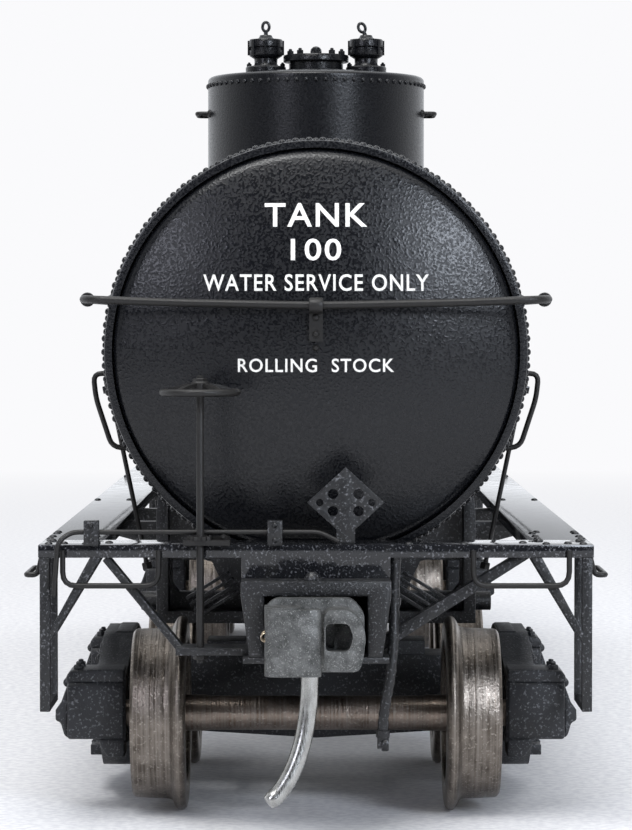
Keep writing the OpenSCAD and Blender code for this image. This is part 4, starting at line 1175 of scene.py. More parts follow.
@dataclass
class Handrail(Assembly):
    """The wire loop round the tank with its stanchions and the two head brackets."""

    radius: float = 0.22
    corner: float = 1.7
    dip: float = 0.35
    strap_half: float = 0.375

    def loop(self) -> Mesh:
        """The closed wire: straight sides, rounded corners and a dip across each head."""
        x, y = Datum.rail.high[0] - self.radius, Datum.rail.high[1] - self.radius
        z = Datum.rail.high[2] - self.radius
        half = [(x, -y, z), (x, y, z), (x * 0.62, y, z - self.dip * 0.55), (0, y, z - self.dip),
                (-x * 0.62, y, z - self.dip * 0.55)]
        full = half + [(-px, -py, pz) for px, py, pz in half]
        path = rounded(full, self.corner, 9, closed=True)
        return sweep(path, circle(self.radius, 16), closed=True, beside=(0, 0, 1))

    def stanchion(self, y: float) -> Mesh:
        """A turned post from the shell to an eye round the rail, on the right side."""
        z = Datum.rail.high[2] - self.radius
        x = Datum.rail.high[0] - self.radius
        foot = math.sqrt(Datum.tank_r**2 - (z - Datum.axis_z) ** 2)
        long = x - foot
        post = lathe([(0, -0.1), (0.42, -0.1), (0.42, 0.08), (0.26, 0.16), (0.2, 0.3),
                      (0.2, long - 0.3), (0.3, long - 0.2), (0.3, long), (0, long)], 16)
        eye = lathe([(0.2, -0.26), (0.36, -0.26), (0.4, -0.18), (0.4, 0.18), (0.36, 0.26),
                     (0.2, 0.26)], 20, closed=True).turned("X", 90).moved(x, 0, z)
        return (post.turned("Y", 90).moved(foot, 0, z) + eye).moved(y=y)

    def head_bracket(self) -> Mesh:
        """A riveted strap up the middle of the front head with an eye at its top."""
        span = Span.of("handrail_posts")
        z_low, z_top = span.low[2], Datum.rail.high[2] - self.radius - self.dip
        rail_y = -(Datum.rail.high[1] - self.radius)
        face = -float(Datum.tank_end + head_depth(np.array(2.0)))
        half = self.strap_half
        strap = box((-half, face - 0.3, z_low), (half, face + 0.15, z_top - 0.25))
        arm = box((-half, rail_y - 0.05, z_top - 0.3), (half, face + 0.1, z_top - 0.1))
        eye = lathe([(0.2, -half), (0.4, -half), (0.44, -0.3), (0.44, 0.3), (0.4, half),
                     (0.2, half)], 20, closed=True).turned("Y", 90).moved(0, rail_y, z_top)
        places = np.array([[0, face - 0.3, z_low + 0.4], [0, face - 0.3, z_low + 1.3],
                           [0, face - 0.02, z_low - 0.35]])
        heads = stamp(rivet(0.2, 0.17), places, (0, -1, 0))
        return strap + arm + eye + heads

    def build(self) -> None:
        """Makes the rail, its stanchions and the brackets on the heads."""
        self.add("handrail_wire", self.loop(), WIRE_PAINT, replaces=("handrail",))
        post_y = Datum.tank_end - 2.2
        posts = join([self.stanchion(y) for y in (-post_y, -post_y / 3, post_y / 3, post_y)])
        mesh = posts.both_sides() + self.head_bracket().both_ends()
        self.add("handrail_stanchions", mesh, WIRE_PAINT, replaces=("handrail_posts",), sharp=30)


@dataclass
class Underframe(Assembly):
    """Sill, bolsters, bearers, running boards and end platforms."""

    bolt_gap: float = 33.0

    def board_bolts(self) -> np.ndarray:
        """Places of the bolts on both running boards."""
        inner, outer = Datum.walk_inner + 0.9, Datum.deck_half - 0.3
        spots = [(x, y * self.bolt_gap) for y in (-1.5, -0.5, 0.5, 1.5) for x in (inner, outer)]
        back = Datum.platform_back
        for y in (back - 0.6, back - 2.4, back - 5.0):
            spots += [(x, end * y) for end in (1, -1) for x in (inner - 0.3, outer)]
        return np.array([(side * x, y, Datum.deck_top) for x, y in spots for side in (-1, 1)])

    def platform_bolts(self) -> np.ndarray:
        """Places of the bolts on both end platforms."""
        front = -Datum.platform_front
        spots = [(14.4, 0.5), (13.6, 0.9), (12.4, 0.5), (11.2, 1.4), (8.0, 0.5), (5.0, 0.5),
                 (14.4, 3.2), (12.2, 3.2)]
        points = np.array([(side * x, front + y, Datum.deck_top)
                           for x, y in spots for side in (-1, 1)])
        return np.vstack([points, points * [-1, -1, 1]])

    def saddle_rivets(self) -> tuple[np.ndarray, np.ndarray]:
        """Places and normals of the rivets round each saddle's outer flange."""
        r, face = Datum.tank_r + 0.36, Datum.bolster.size[1] / 2 - 0.4
        angles = np.concatenate([np.arange(-126, -100, 4.2), np.arange(-80, -54, 4.2)])
        a, side = (t.ravel() for t in np.meshgrid(np.radians(angles), [-1, 1], indexing="ij"))
        places = np.stack([r * np.cos(a), side * face - Datum.truck_y,
                           Datum.axis_z + r * np.sin(a)], axis=1)
        normals = np.outer(side, [0, 1, 0])
        turn = [-1, -1, 1]
        return np.vstack([places, places * turn]), np.vstack([normals, normals * turn])

    def bolster_ribs(self) -> Mesh:
        """Four ribs side by side down each slanting arm of a bolster, on both its faces."""
        inner, outer = np.array([4.75, 12.3]), np.array([7.25, 10.75])
        run = unit(outer - inner)
        across = np.array([-run[1], run[0]])
        front = Datum.bolster.low[1] + 0.25
        ribs = []
        for k in range(4):
            foot = inner + across * (k * 0.42 - 0.63)
            low, high = foot + across * 0.09, foot - across * 0.09
            ends = [low, low + (outer - inner), high + (outer - inner), high]
            ribs.append(prism([tuple(p) for p in ends], front - 0.28, front + 0.3))
        return join(ribs).both_sides().both_ends()

    def build(self) -> None:
        """Makes the underframe's pieces from the CAD shapes, with bolts and rivets added."""
        for node in ("centre_sill", "cross_bearers", "bolster_front", "bolster_rear"):
            self.copy_cad(node, FRAME_PLASTIC, bevel=0.05)
        for node in ("end_platform_front", "end_platform_rear"):
            self.copy_cad(node, DECK_PLASTIC, bevel=0.05)
        lip, plate = 0.3, 0.35
        i, o, top, low = Datum.walk_inner, Datum.deck_half, Datum.deck_top, Datum.deck_low
        outline = [(i, low), (i + lip, low), (i + lip, top - plate), (o - lip, top - plate),
                   (o - lip, low), (o, low), (o, top), (i, top)]
        board = prism(outline, -Datum.platform_back, Datum.platform_back)
        for side, shape in (("right", board), ("left", board.mirrored())):
            self.add(f"walkway_{side}_board", shape, DECK_PLASTIC, replaces=(f"walkway_{side}",),
                     bevel=0.05)
        bolt = rivet(0.23, 0.13)
        self.add("walkway_bolts", stamp(bolt, self.board_bolts(), (0, 0, 1)), FRAME_PLASTIC,
                 sharp=60)
        self.add("platform_bolts", stamp(bolt, self.platform_bolts(), (0, 0, 1)), FRAME_PLASTIC,
                 sharp=60)
        self.add("bolster_ribs", self.bolster_ribs(), FRAME_PLASTIC, bevel=0.03)
        self.add("saddle_rivets", stamp(rivet(0.17, 0.14, 8), *self.saddle_rivets()),
                 FRAME_PLASTIC, sharp=60)


@dataclass
class EndGear(Assembly):
    """Steps, grab irons, levers, hand brake, placards, braces and hoses."""

    wire_radius: float = 0.14
    lever_y: float = -59.635

    def levers(self) -> Mesh:
        """The uncoupling rod across the left half, with a hanging handle."""
        span = Span.of("uncoupling_levers")
        y, low = self.lever_y, span.low[2]
        top = span.high[2] - self.wire_radius
        left = -Datum.deck_half
        path = [(left + 0.9, y - 0.38, low), (left + 1.1, y - 0.38, top - 0.5),
                (left + 1.8, y, top), (0.2, y, top), (1.2, y - 0.2, top - 0.5)]
        return wire(path, self.wire_radius, 0.4)

    def lever_bracket(self, x: float) -> Mesh:
        """A saddle bracket with a cap that holds the rod on the deck's front edge."""
        y, z = self.lever_y, Datum.deck_top + 0.7
        foot = box((x, y + 0.35, Datum.deck_top - 0.05), (x + 0.8, y + 1.5, Datum.deck_top + 0.14))
        face = box((x, y - 0.32, Datum.deck_top - 0.02), (x + 0.8, y + 0.42, z + 0.62))
        head = rivet(0.15, 0.12)
        spots = np.array([[x + 0.4, y - 0.32, z + 0.4], [x + 0.4, y - 0.32, z - 0.42]])
        return foot + face + stamp(head, spots, (0, -1, 0))

    def brake_wheel(self) -> Mesh:
        """A dished hand wheel: rim, five bowed spokes and a hub, turned round Z."""
        span = Span.of("brake_wheel")
        r, z = span.size[0] / 2 - 0.2, span.low[2] + 0.2
        rim = sweep(ring(r, 48), circle(0.2, 12), closed=True, beside=(0, 0, 1))
        t = np.linspace(0, 1, 7)
        rise = 0.42 * (1 - t) ** 0.8 + 0.05 * np.sin(np.pi * t)
        bow = np.stack([0.3 + (r - 0.3) * t, 0 * t, rise], axis=1)
        spoke = sweep(bow, rectangle(0.18, 0.32))
        spokes = join([spoke.turned("Z", k * 72 + 18) for k in range(5)])
        hub = lathe([(0, 0.1), (0.42, 0.1), (0.5, 0.2), (0.5, 0.5), (0.4, 0.6), (0, 0.6)], 24)
        mid = span.mid
        return (rim + spokes + hub).moved(mid[0], mid[1], z)

    def brake_staff(self) -> Mesh:
        """The staff with its nut, ratchet wheel, pawl and the foot in its strap."""
        span = Span.of("brake_staff")
        wheel = Span.of("brake_wheel").mid
        x, y, deck = wheel[0], wheel[1], Datum.deck_top
        rod = lathe([(0, span.low[2]), (0.2, span.low[2]), (0.2, span.high[2] - 0.2),
                     (0.12, span.high[2]), (0, span.high[2])], 16).moved(x, y)
        top_nut = nut(0.38, 0.28).moved(x, y, span.high[2] - 0.42)
        teeth = circle(1.0, 24) * (0.62 - 0.1 * (np.arange(24) % 2))[:, None]
        ratchet = sweep(np.array([[0, 0, 0.3], [0, 0, 0.5]]), teeth).moved(x, y, deck)
        pad = box((x - 0.9, y - 0.42, deck + 0.02), (x + 1.6, y + 1.6, deck + 0.3))
        pawl = box((-0.1, -0.16, 0.3), (0.85, 0.16, 0.5)).turned("Z", 148)
        pawl = pawl.moved(x + 1.4, y + 0.1, deck)
        pin = nut(0.2, 0.1).moved(x + 1.25, y + 0.15, deck + 0.45)
        spots = np.array([[x - 0.6, y + 1.2, deck + 0.3], [x + 1.3, y + 1.2, deck + 0.3]])
        bolts = stamp(rivet(0.16, 0.12), spots, (0, 0, 1))
        foot = nut(0.4, 0.26).turned("X", 180).moved(x, y, span.low[2] + 0.44)
        return rod + top_nut + ratchet + pad + pawl + pin + bolts + foot

    def hoses(self) -> Mesh:
        """The brake hose beside each coupler: a stiff bent tube with ribs and a gladhand."""
        path = rounded([(4.3, 0, Datum.deck_low + 0.1), (4.22, 0, 12.4), (4.2, -0.5, 10.65),
                        (4.0, -0.7, 8.25), (3.64, -0.6, 6.5), (3.6, -0.4, 5.2)], 0.8, 6)
        ripple = 1 + 0.07 * np.cos(np.arange(len(path)) * math.pi)
        tube = sweep(path, circle(0.28, 14), scale=ripple)
        upper = sweep(np.array([[4.22, 0, 12.6], [4.21, 0, 12.2]]), circle(0.37, 12))
        lower = sweep(np.array([[3.62, -0.44, 5.5], [3.59, -0.4, 5.1]]), circle(0.37, 12))
        gladhand = box((3.3, -0.68, 4.5), (3.9, -0.14, 5.15))
        lugs = lathe([(0, -0.2), (0.34, -0.2), (0.38, -0.1), (0.38, 0.1), (0.34, 0.2),
                      (0, 0.2)], 16).turned("Y", 90).moved(3.72, -0.42, 4.72)
        return join([tube, upper, lower, gladhand, lugs]).moved(y=0.7 - Datum.platform_front)

    def build(self) -> None:
        """Makes all the fittings of both ends."""
        for node in ("corner_steps", "end_braces", "placard_boards"):
            self.copy_cad(node, FRAME_PLASTIC, bevel=0.045)
        r = self.wire_radius + 0.01
        side = Span.of("side_grab_irons")
        out, z, low_y = side.high[0] - 0.15, side.low[2] + 0.15, side.low[1] + 0.15
        iron = wire([(Datum.deck_half - 0.15, low_y, Datum.deck_low + 0.1),
                     (Datum.deck_half + 0.1, low_y, z), (out, low_y, z), (out, low_y + 5, z),
                     (Datum.deck_half + 0.1, low_y + 5, z),
                     (Datum.deck_half - 0.15, low_y + 5, Datum.deck_low + 0.1)], r, 0.3)
        self.add("side_grab_irons_bent", iron.both_sides().both_ends(), WIRE_PAINT,
                 replaces=("side_grab_irons",))
        span = Span.of("end_grab_irons")
        y, z, x0, x1 = span.low[1] + 0.14, span.low[2] + 0.14, 8.45, span.high[0] - 0.14
        top = Datum.deck_top - 0.3
        iron = wire([(x0, y, top), (x0, y, z), (x1, y, z), (x1, y, top)], r, 0.75)
        self.add("end_grab_irons_bent", iron.both_sides().both_ends(), WIRE_PAINT,
                 replaces=("end_grab_irons",))
        self.add("uncoupling_levers_bent", self.levers().both_ends(), WIRE_PAINT,
                 replaces=("uncoupling_levers",))
        brackets = join([self.lever_bracket(x) for x in (-12.45, -2.6)])
        self.add("lever_brackets_bolted", brackets.both_ends(), FRAME_PLASTIC,
                 replaces=("lever_brackets",), bevel=0.04)
        self.add("brake_wheel_spoked", self.brake_wheel(), WIRE_PAINT, replaces=("brake_wheel",))
        self.add("brake_staff_ratchet", self.brake_staff(), WIRE_PAINT, replaces=("brake_staff",),
                 sharp=30)
        self.add("air_hoses_ribbed", self.hoses().both_ends(), FRAME_PLASTIC,
                 replaces=("air_hoses",))


@dataclass
class BrakeGear(Assembly):
    """Reservoir, cylinder, triple valve and the bottom outlet under the tank."""

    def build(self) -> None:
        """Makes the hidden gear from the CAD shapes, with flange bolts added."""
        cylinder = Span.of("brake_cylinder")
        radius = 1.75
        mid = [cylinder.high[0] - radius, cylinder.low[1] + 0.6, cylinder.low[2] + radius]
        places = ring(radius - 0.2, 6)[:, [0, 2, 1]] + mid
        bolts = stamp(rivet(0.14, 0.12), places, (0, 1, 0))
        self.copy_cad("brake_cylinder", FRAME_PLASTIC, bevel=0.05, extra=bolts)
        for node in ("air_reservoir", "triple_valve", "outlet_valve"):
            self.copy_cad(node, FRAME_PLASTIC, bevel=0.05)
        self.copy_cad("chassis_screws", SCREW_STEEL, bevel=0.04)


@dataclass
class Truck(Assembly):
    """One truck: bolster, two cast side frames with journal boxes and springs, brake beams."""

    end: End = End.FRONT
    inner: float = 10.65
    outer: float = 12.35
    box_out: float = 13.9
    rim: float = 0.42
    foot_z: float = 1.7
    top_rise: float = 3.85

    def outline(self) -> list[tuple[float, float]]:
        """The side frame's outline as (y, z) about the truck's centre."""
        b, z = self.box_y, Datum.axle_z
        half = [(3.0, z + self.top_rise), (4.4, z + 3.5), (b - 1.6, z + 2.5), (b + 1.5, z + 2.2),
                (b + 1.55, z - 1.5), (b - 1.9, z - 1.7), (4.1, self.foot_z)]
        return half + [(-y, q) for y, q in half[::-1]]

    def windows(self) -> list[list[tuple[float, float]]]:
        """Two three-cornered windows and the spring opening, as (y, z)."""
        b, z = self.box_y, Datum.axle_z
        side = [(3.6, z + 2.4), (b - 2.5, z + 1.2), (b - 2.5, z - 0.5), (4.1, 3.3), (3.6, 3.4)]
        return [side, [(-y, q) for y, q in side],
                [(-2.7, 2.8), (2.7, 2.8), (2.7, 5.7), (-2.7, 5.7)]]

    @property
    def box_y(self) -> float:
        """Distance of a journal box from the truck's centre."""
        return (Datum.axle_ys[1] - Datum.axle_ys[0]) / 2

    def web(self) -> Mesh:
        """The frame's thin web between raised rims round its edge and its windows."""
        rings = [soft(self.outline(), 0.8, 5)] + [soft(w, 0.6, 4) for w in self.windows()]
        core = plate(rings[0], rings[1:], self.inner + 0.3, self.outer - 0.5, "X")
        mid = (self.inner + self.outer) / 2
        section = rectangle(self.rim, self.outer - self.inner)
        rims = []
        for ring, inset in zip(rings, (1.0, -1.0, -1.0, -1.0)):
            centre = ring.mean(axis=0)
            shrink = 1 - inset * self.rim / 2 / np.abs(ring - centre).max(axis=0)
            path = (ring - centre) * shrink + centre
            level = np.full((len(path), 1), mid)
            rims.append(sweep(seat(path, level, "X"), section, closed=True, beside=(1, 0, 0)))
        return core + join(rims)

    def journal_box(self, y: float) -> Mesh:
        """A journal box: rounded block, cap slab, sloping lid with a lip, and its lower column."""
        inner, out, frame_out = self.inner + 0.05, self.box_out, self.outer - 0.2
        block = prism(soft([(-1.65, -1.35), (1.65, -1.35), (1.65, 1.95), (-1.65, 1.95)], 0.5),
                      inner, out, "X")
        cap = prism([(inner, 1.85), (out + 0.06, 1.85), (out + 0.06, 2.25), (out - 0.2, 2.55),
                     (inner, 2.6)], -1.5, 1.5)
        lid = prism([(out - 0.05, 1.9), (out + 0.38, 0.7), (out + 0.68, 0.3), (out + 0.7, -0.3),
                     (out + 0.4, -0.42), (out + 0.2, -1.15), (out - 0.05, -1.3)], -1.25, 1.25)
        hinge = lathe([(0, -0.6), (0.26, -0.6), (0.26, 0.6), (0, 0.6)], 14).turned("X", 90)
        column = prism([(inner, -1.3), (frame_out, -1.3), (frame_out - 0.05, -1.7),
                        (frame_out - 0.5, -2.35), (inner, -2.35)], -1.3, 1.3)
        parts = [block, cap, lid, hinge.moved(out + 0.05, 0, 1.75), column]
        return join(parts).moved(0, y, Datum.axle_z)

    def crown(self) -> Mesh:
        """The frame's top over the springs: a rounded casing with a slab at its foot."""
        low, top, out = 6.9, Datum.axle_z + 3.95, self.outer + 0.35
        shell = prism([(self.inner, low), (self.inner, top), (out - 1.1, top),
                       (out - 0.5, top - 0.25), (out - 0.12, top - 0.75), (out, top - 1.35),
                       (out, low)], -2.9, 2.9)
        slab = box((self.inner, -3.3, low - 0.3), (out + 0.12, 3.3, low + 0.35))
        return shell + slab

    def springs(self) -> Mesh:
        """Three coil springs between their seat and the bolster's end, with guide blocks."""
        x = self.outer + 0.05
        coils = [coil((x, y, 2.75), 0.66, 2.85, 4.5, 0.17) for y in (-1.72, 0.0, 1.72)]
        seat_block = box((self.inner + 0.1, -3.2, 2.2), (13.15, 3.2, 2.8))
        top_block = box((self.inner + 0.1, -3.2, 5.6), (13.1, 3.2, 6.7))
        return join(coils) + seat_block + top_block

    def bolts(self) -> Mesh:
        """Nuts on the boxes, the frame's columns and the spring seat."""
        b, z = self.box_y, Datum.axle_z
        up = [(13.3, s * b + t, z + 2.55) for s in (-1, 1) for t in (-0.9, 0.9)]
        out = [(self.outer, s * y, q) for s in (-1, 1)
               for y, q in ((3.9, 6.9), (3.15, 4.2), (3.15, 3.2), (4.4, z + 2.6))]
        out += [(self.outer + 0.25, t, z + 2.3) for t in (-2.4, 0.0, 2.4)]
        standing = stamp(nut(0.3, 0.26), np.array(up), (0, 0, 1))
        return standing + stamp(nut(0.26, 0.22), np.array(out), (1, 0, 0))

    def placed(self, mesh: Mesh) -> Mesh:
        """Both sides of a mesh drawn about the truck's centre, at this end."""
        return mesh.moved(y=-Datum.truck_y).both_sides().turned("Z", self.end.value)

    def build(self) -> None:
        """Makes the truck's pieces and seats them on its body."""
        word, y = self.end.word, self.box_y
        body = Body.TRUCK.value.replace("front", word)
        self.copy_cad(f"truck_bolster_{word}", TRUCK_PLASTIC, body, 0.1)
        self.copy_cad(f"brake_beams_{word}", TRUCK_PLASTIC, body, 0.06)
        self.add(f"sideframes_{word}_cast", self.placed(self.web()), TRUCK_PLASTIC, body,
                 (f"sideframes_{word}",), bevel=0.08, sharp=50)
        boxes = join([self.journal_box(-y), self.journal_box(y), self.crown()])
        self.add(f"journal_boxes_{word}", self.placed(boxes), TRUCK_PLASTIC, body, bevel=0.16,
                 sharp=50, segments=3)
        self.add(f"truck_springs_{word}", self.placed(self.springs()), TRUCK_PLASTIC, body,
                 bevel=0.05)
        self.add(f"truck_bolts_{word}", self.placed(self.bolts()), TRUCK_PLASTIC, body, sharp=30)


@dataclass
class Wheelset(Assembly):
    """Two turned wheels on a pointed axle."""

    number: int = 1
    back_x: float = 7.2

    def wheel(self) -> Mesh:
        """One wheel turned round Z, its back face at z = 0: flange, tread, web and hub."""
        f, width = Datum.flange_r, Datum.wheel_out - self.back_x
        t = f - 0.64
        rim = t - 0.8
        bore = Datum.axle.size[2] / 2
        profile = [(bore, 0.2), (bore + 0.62, 0.2), (bore + 0.7, 0.28), (bore + 0.72, 0.85),
                   (rim - 0.2, 0.72), (rim, 0.6), (rim, 0.08), (rim + 0.08, 0), (f - 0.4, 0),
                   (f - 0.16, 0.06), (f - 0.04, 0.2), (f, 0.34), (f - 0.03, 0.48), (f - 0.12, 0.6),
                   (f - 0.32, 0.72), (t + 0.1, 0.82), (t + 0.02, 0.95), (t - 0.02, 1.2),
                   (t - 0.08, width - 0.22), (t - 0.14, width - 0.1), (t - 0.26, width),
                   (rim + 0.1, width), (rim, width - 0.1), (rim - 0.04, 1.9), (rim - 0.22, 1.72),
                   (bore + 0.95, 1.9), (bore + 0.72, 2.05), (bore + 0.7, width - 0.18),
                   (bore + 0.6, width - 0.08), (bore, width - 0.08)]
        return lathe(profile, 128, closed=True)

    def axle(self) -> Mesh:
        """The axle turned round Z: waisted middle, wheel seats and pointed journals."""
        span = Datum.axle
        end, r = span.high[0], span.size[2] / 2
        seat_x = Datum.wheel_out - 0.1
        half = [(r - 0.06, 0.0), (r - 0.06, 5.9), (r, 6.3), (r, seat_x), (0.75, seat_x + 0.05),
                (0.75, end - 1.3), (0.06, end - 0.02), (0, end)]
        profile = [(a, -b) for a, b in half[::-1]] + half[1:]
        return lathe(profile, 48)

    def build(self) -> None:
        """Makes the wheels and the axle on their own body."""
        n, y = self.number, Datum.axle_ys[self.number - 1]
        body = f"wheelset_{n}"
        line = (y, Datum.axle_z)
        wheel_metal = TurnedMetal(f"browned_wheel_metal_{n}", "blackened_wheel_metal", axle=line)
        axle_metal = TurnedMetal(f"browned_axle_steel_{n}", "blackened_axle_steel", axle=line,
                                 colour="#93857a", dark="#685a4f", line=0.14)
        wheel = self.wheel().turned("Y", 90).moved(self.back_x, y, Datum.axle_z)
        self.add(f"wheels_{n}_turned", wheel.both_sides(), wheel_metal, body, (f"wheels_{n}",))
        axle = self.axle().turned("Y", 90).moved(0, y, Datum.axle_z)
        self.add(f"axle_{n}_pointed", axle, axle_metal, body, (f"axle_{n}",))


@dataclass
class Coupler(Assembly):
    """One coupler: cast head with its guard arm, hinged knuckle, its spring and the trip pin."""

    end: End = End.FRONT
    lug: float = 0.72
    eye: float = 0.85
    lug_radius: float = 0.95
    trip_radius: float = 0.47
    trip_tip: float = 0.8
    centre_z: float = 10.95

    @property
    def pin(self) -> tuple[float, float]:
        """Where the knuckle's hinge pin stands, as (x, y behind the coupler's face)."""
        return Datum.knuckle.low[0] + 0.9, 1.75

    def shank(self) -> Mesh:
        """The shank from its eye in the box to the head's back plate."""
        eye_r, half = 1.75, 0.82
        y, z, back = Datum.coupler.high[1] - eye_r, self.centre_z, Datum.face_y + 3.9
        eye = plate(circle(eye_r, 40), [circle(0.97, 32)], -0.8, 0.8, "Z").moved(0, y, z)
        bar = prism(soft([(-1.0, z - half), (1.0, z - half), (1.0, z + half), (-1.0, z + half)],
                         0.2), back - 0.2, y - 1.3)
        return eye + bar

    def head(self) -> Mesh:
        """Back plate, guard arm with its slot and lock, and the lugs round the knuckle's pin."""
        low, top = Datum.coupler.low[2], Datum.coupler.high[2]
        back = prism(soft([(-2.72, low + 0.05), (2.3, low + 0.05), (2.55, low + 1.0),
                           (2.55, top - 0.8), (1.9, top), (-2.2, top), (-2.72, top - 0.5)], 0.35),
                     2.95, 3.9)
        arm = soft([(0.42, low + 0.35), (1.45, low + 0.3), (2.2, low + 0.75), (2.62, low + 1.8),
                    (2.5, top - 1.3), (1.85, top - 0.4), (0.42, top - 0.4)], 0.5, 6)
        slot = soft([(0.5, 10.38), (1.7, 10.38), (1.95, 11.1), (1.7, 11.82), (0.5, 11.82)],
                    0.25, 4)
        guard = plate(arm, [slot], 0.62, 3.0, "Y")
        lock = prism([(2.1, 10.3), (3.1, 10.3), (3.1, 11.9), (2.6, 11.9)], 0.95, 2.1, "X")
        x, y = self.pin
        t, r = np.linspace(-math.pi, 0, 14), self.lug_radius
        nose = np.stack([x + r * np.cos(t), y + r * np.sin(t)], axis=1)
        plan = np.vstack([nose, [[x + r, 3.2], [x - r, 3.2]]])
        lugs = [prism(plan, z, z + self.lug, "Z") for z in (low, top - self.lug - 0.35)]
        cap = lathe([(0, 0), (0.42, 0), (0.36, 0.05), (0, 0.06)], 16).moved(x, y, top - 0.41)
        return join([back, guard, lock, *lugs, cap]).moved(y=Datum.face_y)

    def knuckle(self) -> Mesh:
        """The knuckle: a broad block with a rolled nose, and the eye round the hinge pin."""
        low, top = Datum.knuckle.low[2], Datum.knuckle.high[2]
        x, y = self.pin
        plan = [(-2.64, 0.7), (-2.62, 0.3), (-2.35, 0.03), (-1.2, 0), (-0.35, 0), (0.12, 0.1),
                (0.3, 0.4), (0.25, 0.8), (0.0, 1.0), (-0.3, 0.95), (-0.45, 0.7), (-2.2, 0.7)]
        block = prism(soft(plan, 0.15, 3), low, top, "Z")
        arm = box((x - 0.8, 0.6, low + 0.85), (x + 0.55, y, top - 0.55))
        eye = plate(circle(self.eye, 32), [circle(0.42, 24)], low + 0.82, top - 0.52, "Z")
        ridge = box((-2.3, 0.05, top - 0.14), (-0.9, 0.6, top + 0.1))
        return join([block, arm, ridge, eye.moved(x, y)]).moved(y=Datum.face_y)

    def trip_pin(self) -> Mesh:
        """The steel pin, bent forward and to the left, with a ground flat at its tip."""
        r = self.trip_radius
        path = [(-0.32, 0, 10.2), (-0.33, 0, 8.0), (-0.45, -0.05, 6.7), (-0.68, -0.2, 5.4),
                (-1.05, -0.45, 4.25), (-1.55, -0.68, 3.25), (-2.05, -0.82, 2.62),
                (-2.5, -1.0, Datum.trip.low[2] + r)]
        shape = rounded(path, 0.7, 7)
        factor = np.ones(len(shape))
        factor[-1] = self.trip_tip
        return sweep(shape, circle(r, 24), scale=factor).moved(y=Datum.face_y + 3.1)

    def build(self) -> None:
        """Makes the coupler's pieces on its two moving bodies."""
        word, turn = self.end.word, self.end.value
        head_body = Body.COUPLER.value.replace("front", word)
        claw_body = Body.KNUCKLE.value.replace("front", word)
        shape = (self.shank() + self.head()).turned("Z", turn)
        self.add(f"coupler_{word}_cast", shape, ZINC, head_body, (f"coupler_{word}",), bevel=0.13,
                 segments=3, sharp=60)
        self.add(f"knuckle_{word}_cast", self.knuckle().turned("Z", turn), ZINC, claw_body,
                 (f"knuckle_{word}",), bevel=0.16, segments=3, sharp=60)
        self.add(f"trip_pin_{word}_bent", self.trip_pin().turned("Z", turn), PIN_STEEL, head_body,
                 (f"trip_pin_{word}",), bevel=0.06, sharp=60)
        spring = coil((0, 0, 0), 0.2, 1.5, 8, 0.05).turned("X", 90)
        spring = spring.moved(-2.66, Datum.face_y + 2.6, 11.05)
        self.add(f"knuckle_spring_{word}", spring.turned("Z", turn), SPRING_STEEL, head_body)


@dataclass
class CouplerBoxes(Assembly):
    """The two coupler boxes, their lids and the centring springs inside them."""

    def build(self) -> None:
        """Makes the boxes from the CAD shapes, with a cast lug and a hasp on each."""
        front, top = Datum.box.low[1], Datum.box.high[2]
        lug = lathe([(0, 0), (0.45, 0), (0.45, 0.22), (0.3, 0.42), (0.22, 0.5), (0, 0.52)], 9)
        lug = lug.moved(-0.2, front + 0.6, top - 0.05)
        hasp = box((-0.6, front + 0.3, top - 0.1), (0.35, front + 1.4, top + 0.12))
        self.copy_cad("coupler_boxes", FRAME_PLASTIC, bevel=0.1, extra=(lug + hasp).both_ends())
        self.copy_cad("coupler_box_lids", FRAME_PLASTIC, bevel=0.05)
        self.copy_cad("centring_springs", BRONZE, bevel=0.0)


@dataclass
class Stencils(Assembly):
    """Generic white stencil words on both heads."""

    lines: tuple[tuple[str, float, float, float], ...] = (
        ("TANK", 33.3, 1.3, 5.6),
        ("100", 31.4, 1.2, 2.75),
        ("WATER SERVICE ONLY", 29.6, 0.92, 12.3),
        ("ROLLING  STOCK", 25.1, 0.74, 8.5),
    )
    ink: float = 0.015

    def words(self, text: str, z: float, height: float, width: float) -> Mesh:
        """One line of letters laid on the front head's curved face.

        Args:
            text: the words.
            z: height of the line's middle.
            height: height of a capital letter.
            width: length of the whole line.

        Returns:
            A thin closed mesh just proud of the head.
        """
        curve = bpy.data.curves.new("letters", "FONT")
        curve.body = text
        curve.space_character = 1.12
        curve.extrude = self.ink
        curve.offset = 0.012
        curve.resolution_u = 4
        flat, faces = drain(curve)
        low, high = flat.min(axis=0), flat.max(axis=0)
        x = ((flat[:, 0] - low[0]) / (high[0] - low[0]) - 0.5) * width
        up = ((flat[:, 1] - low[1]) / (high[1] - low[1]) - 0.5) * height + z
        r = np.hypot(x, up - Datum.axis_z)
        y = -(Datum.tank_end + head_depth(r) + 0.012 + flat[:, 2])
        return Mesh(np.stack([x, y, up], axis=1), faces)

    def build(self) -> None:
        """Makes the words on the front head and on the rear one."""
        mesh = join([self.words(*line) for line in self.lines])
        self.add("stencil_words", mesh.both_ends(), STENCIL)


# ---------------------------------------------------------------- studio


@dataclass(frozen=True)
class Lamp:
    """A rectangular softbox: where it stands, its size, its power and the point that it lights."""

    name: str
    place: Point
    width: float
    height: float
    watts: float
    aim: Point = (0.0, -50.0, 26.0)
    colour: str = "#ffffff"


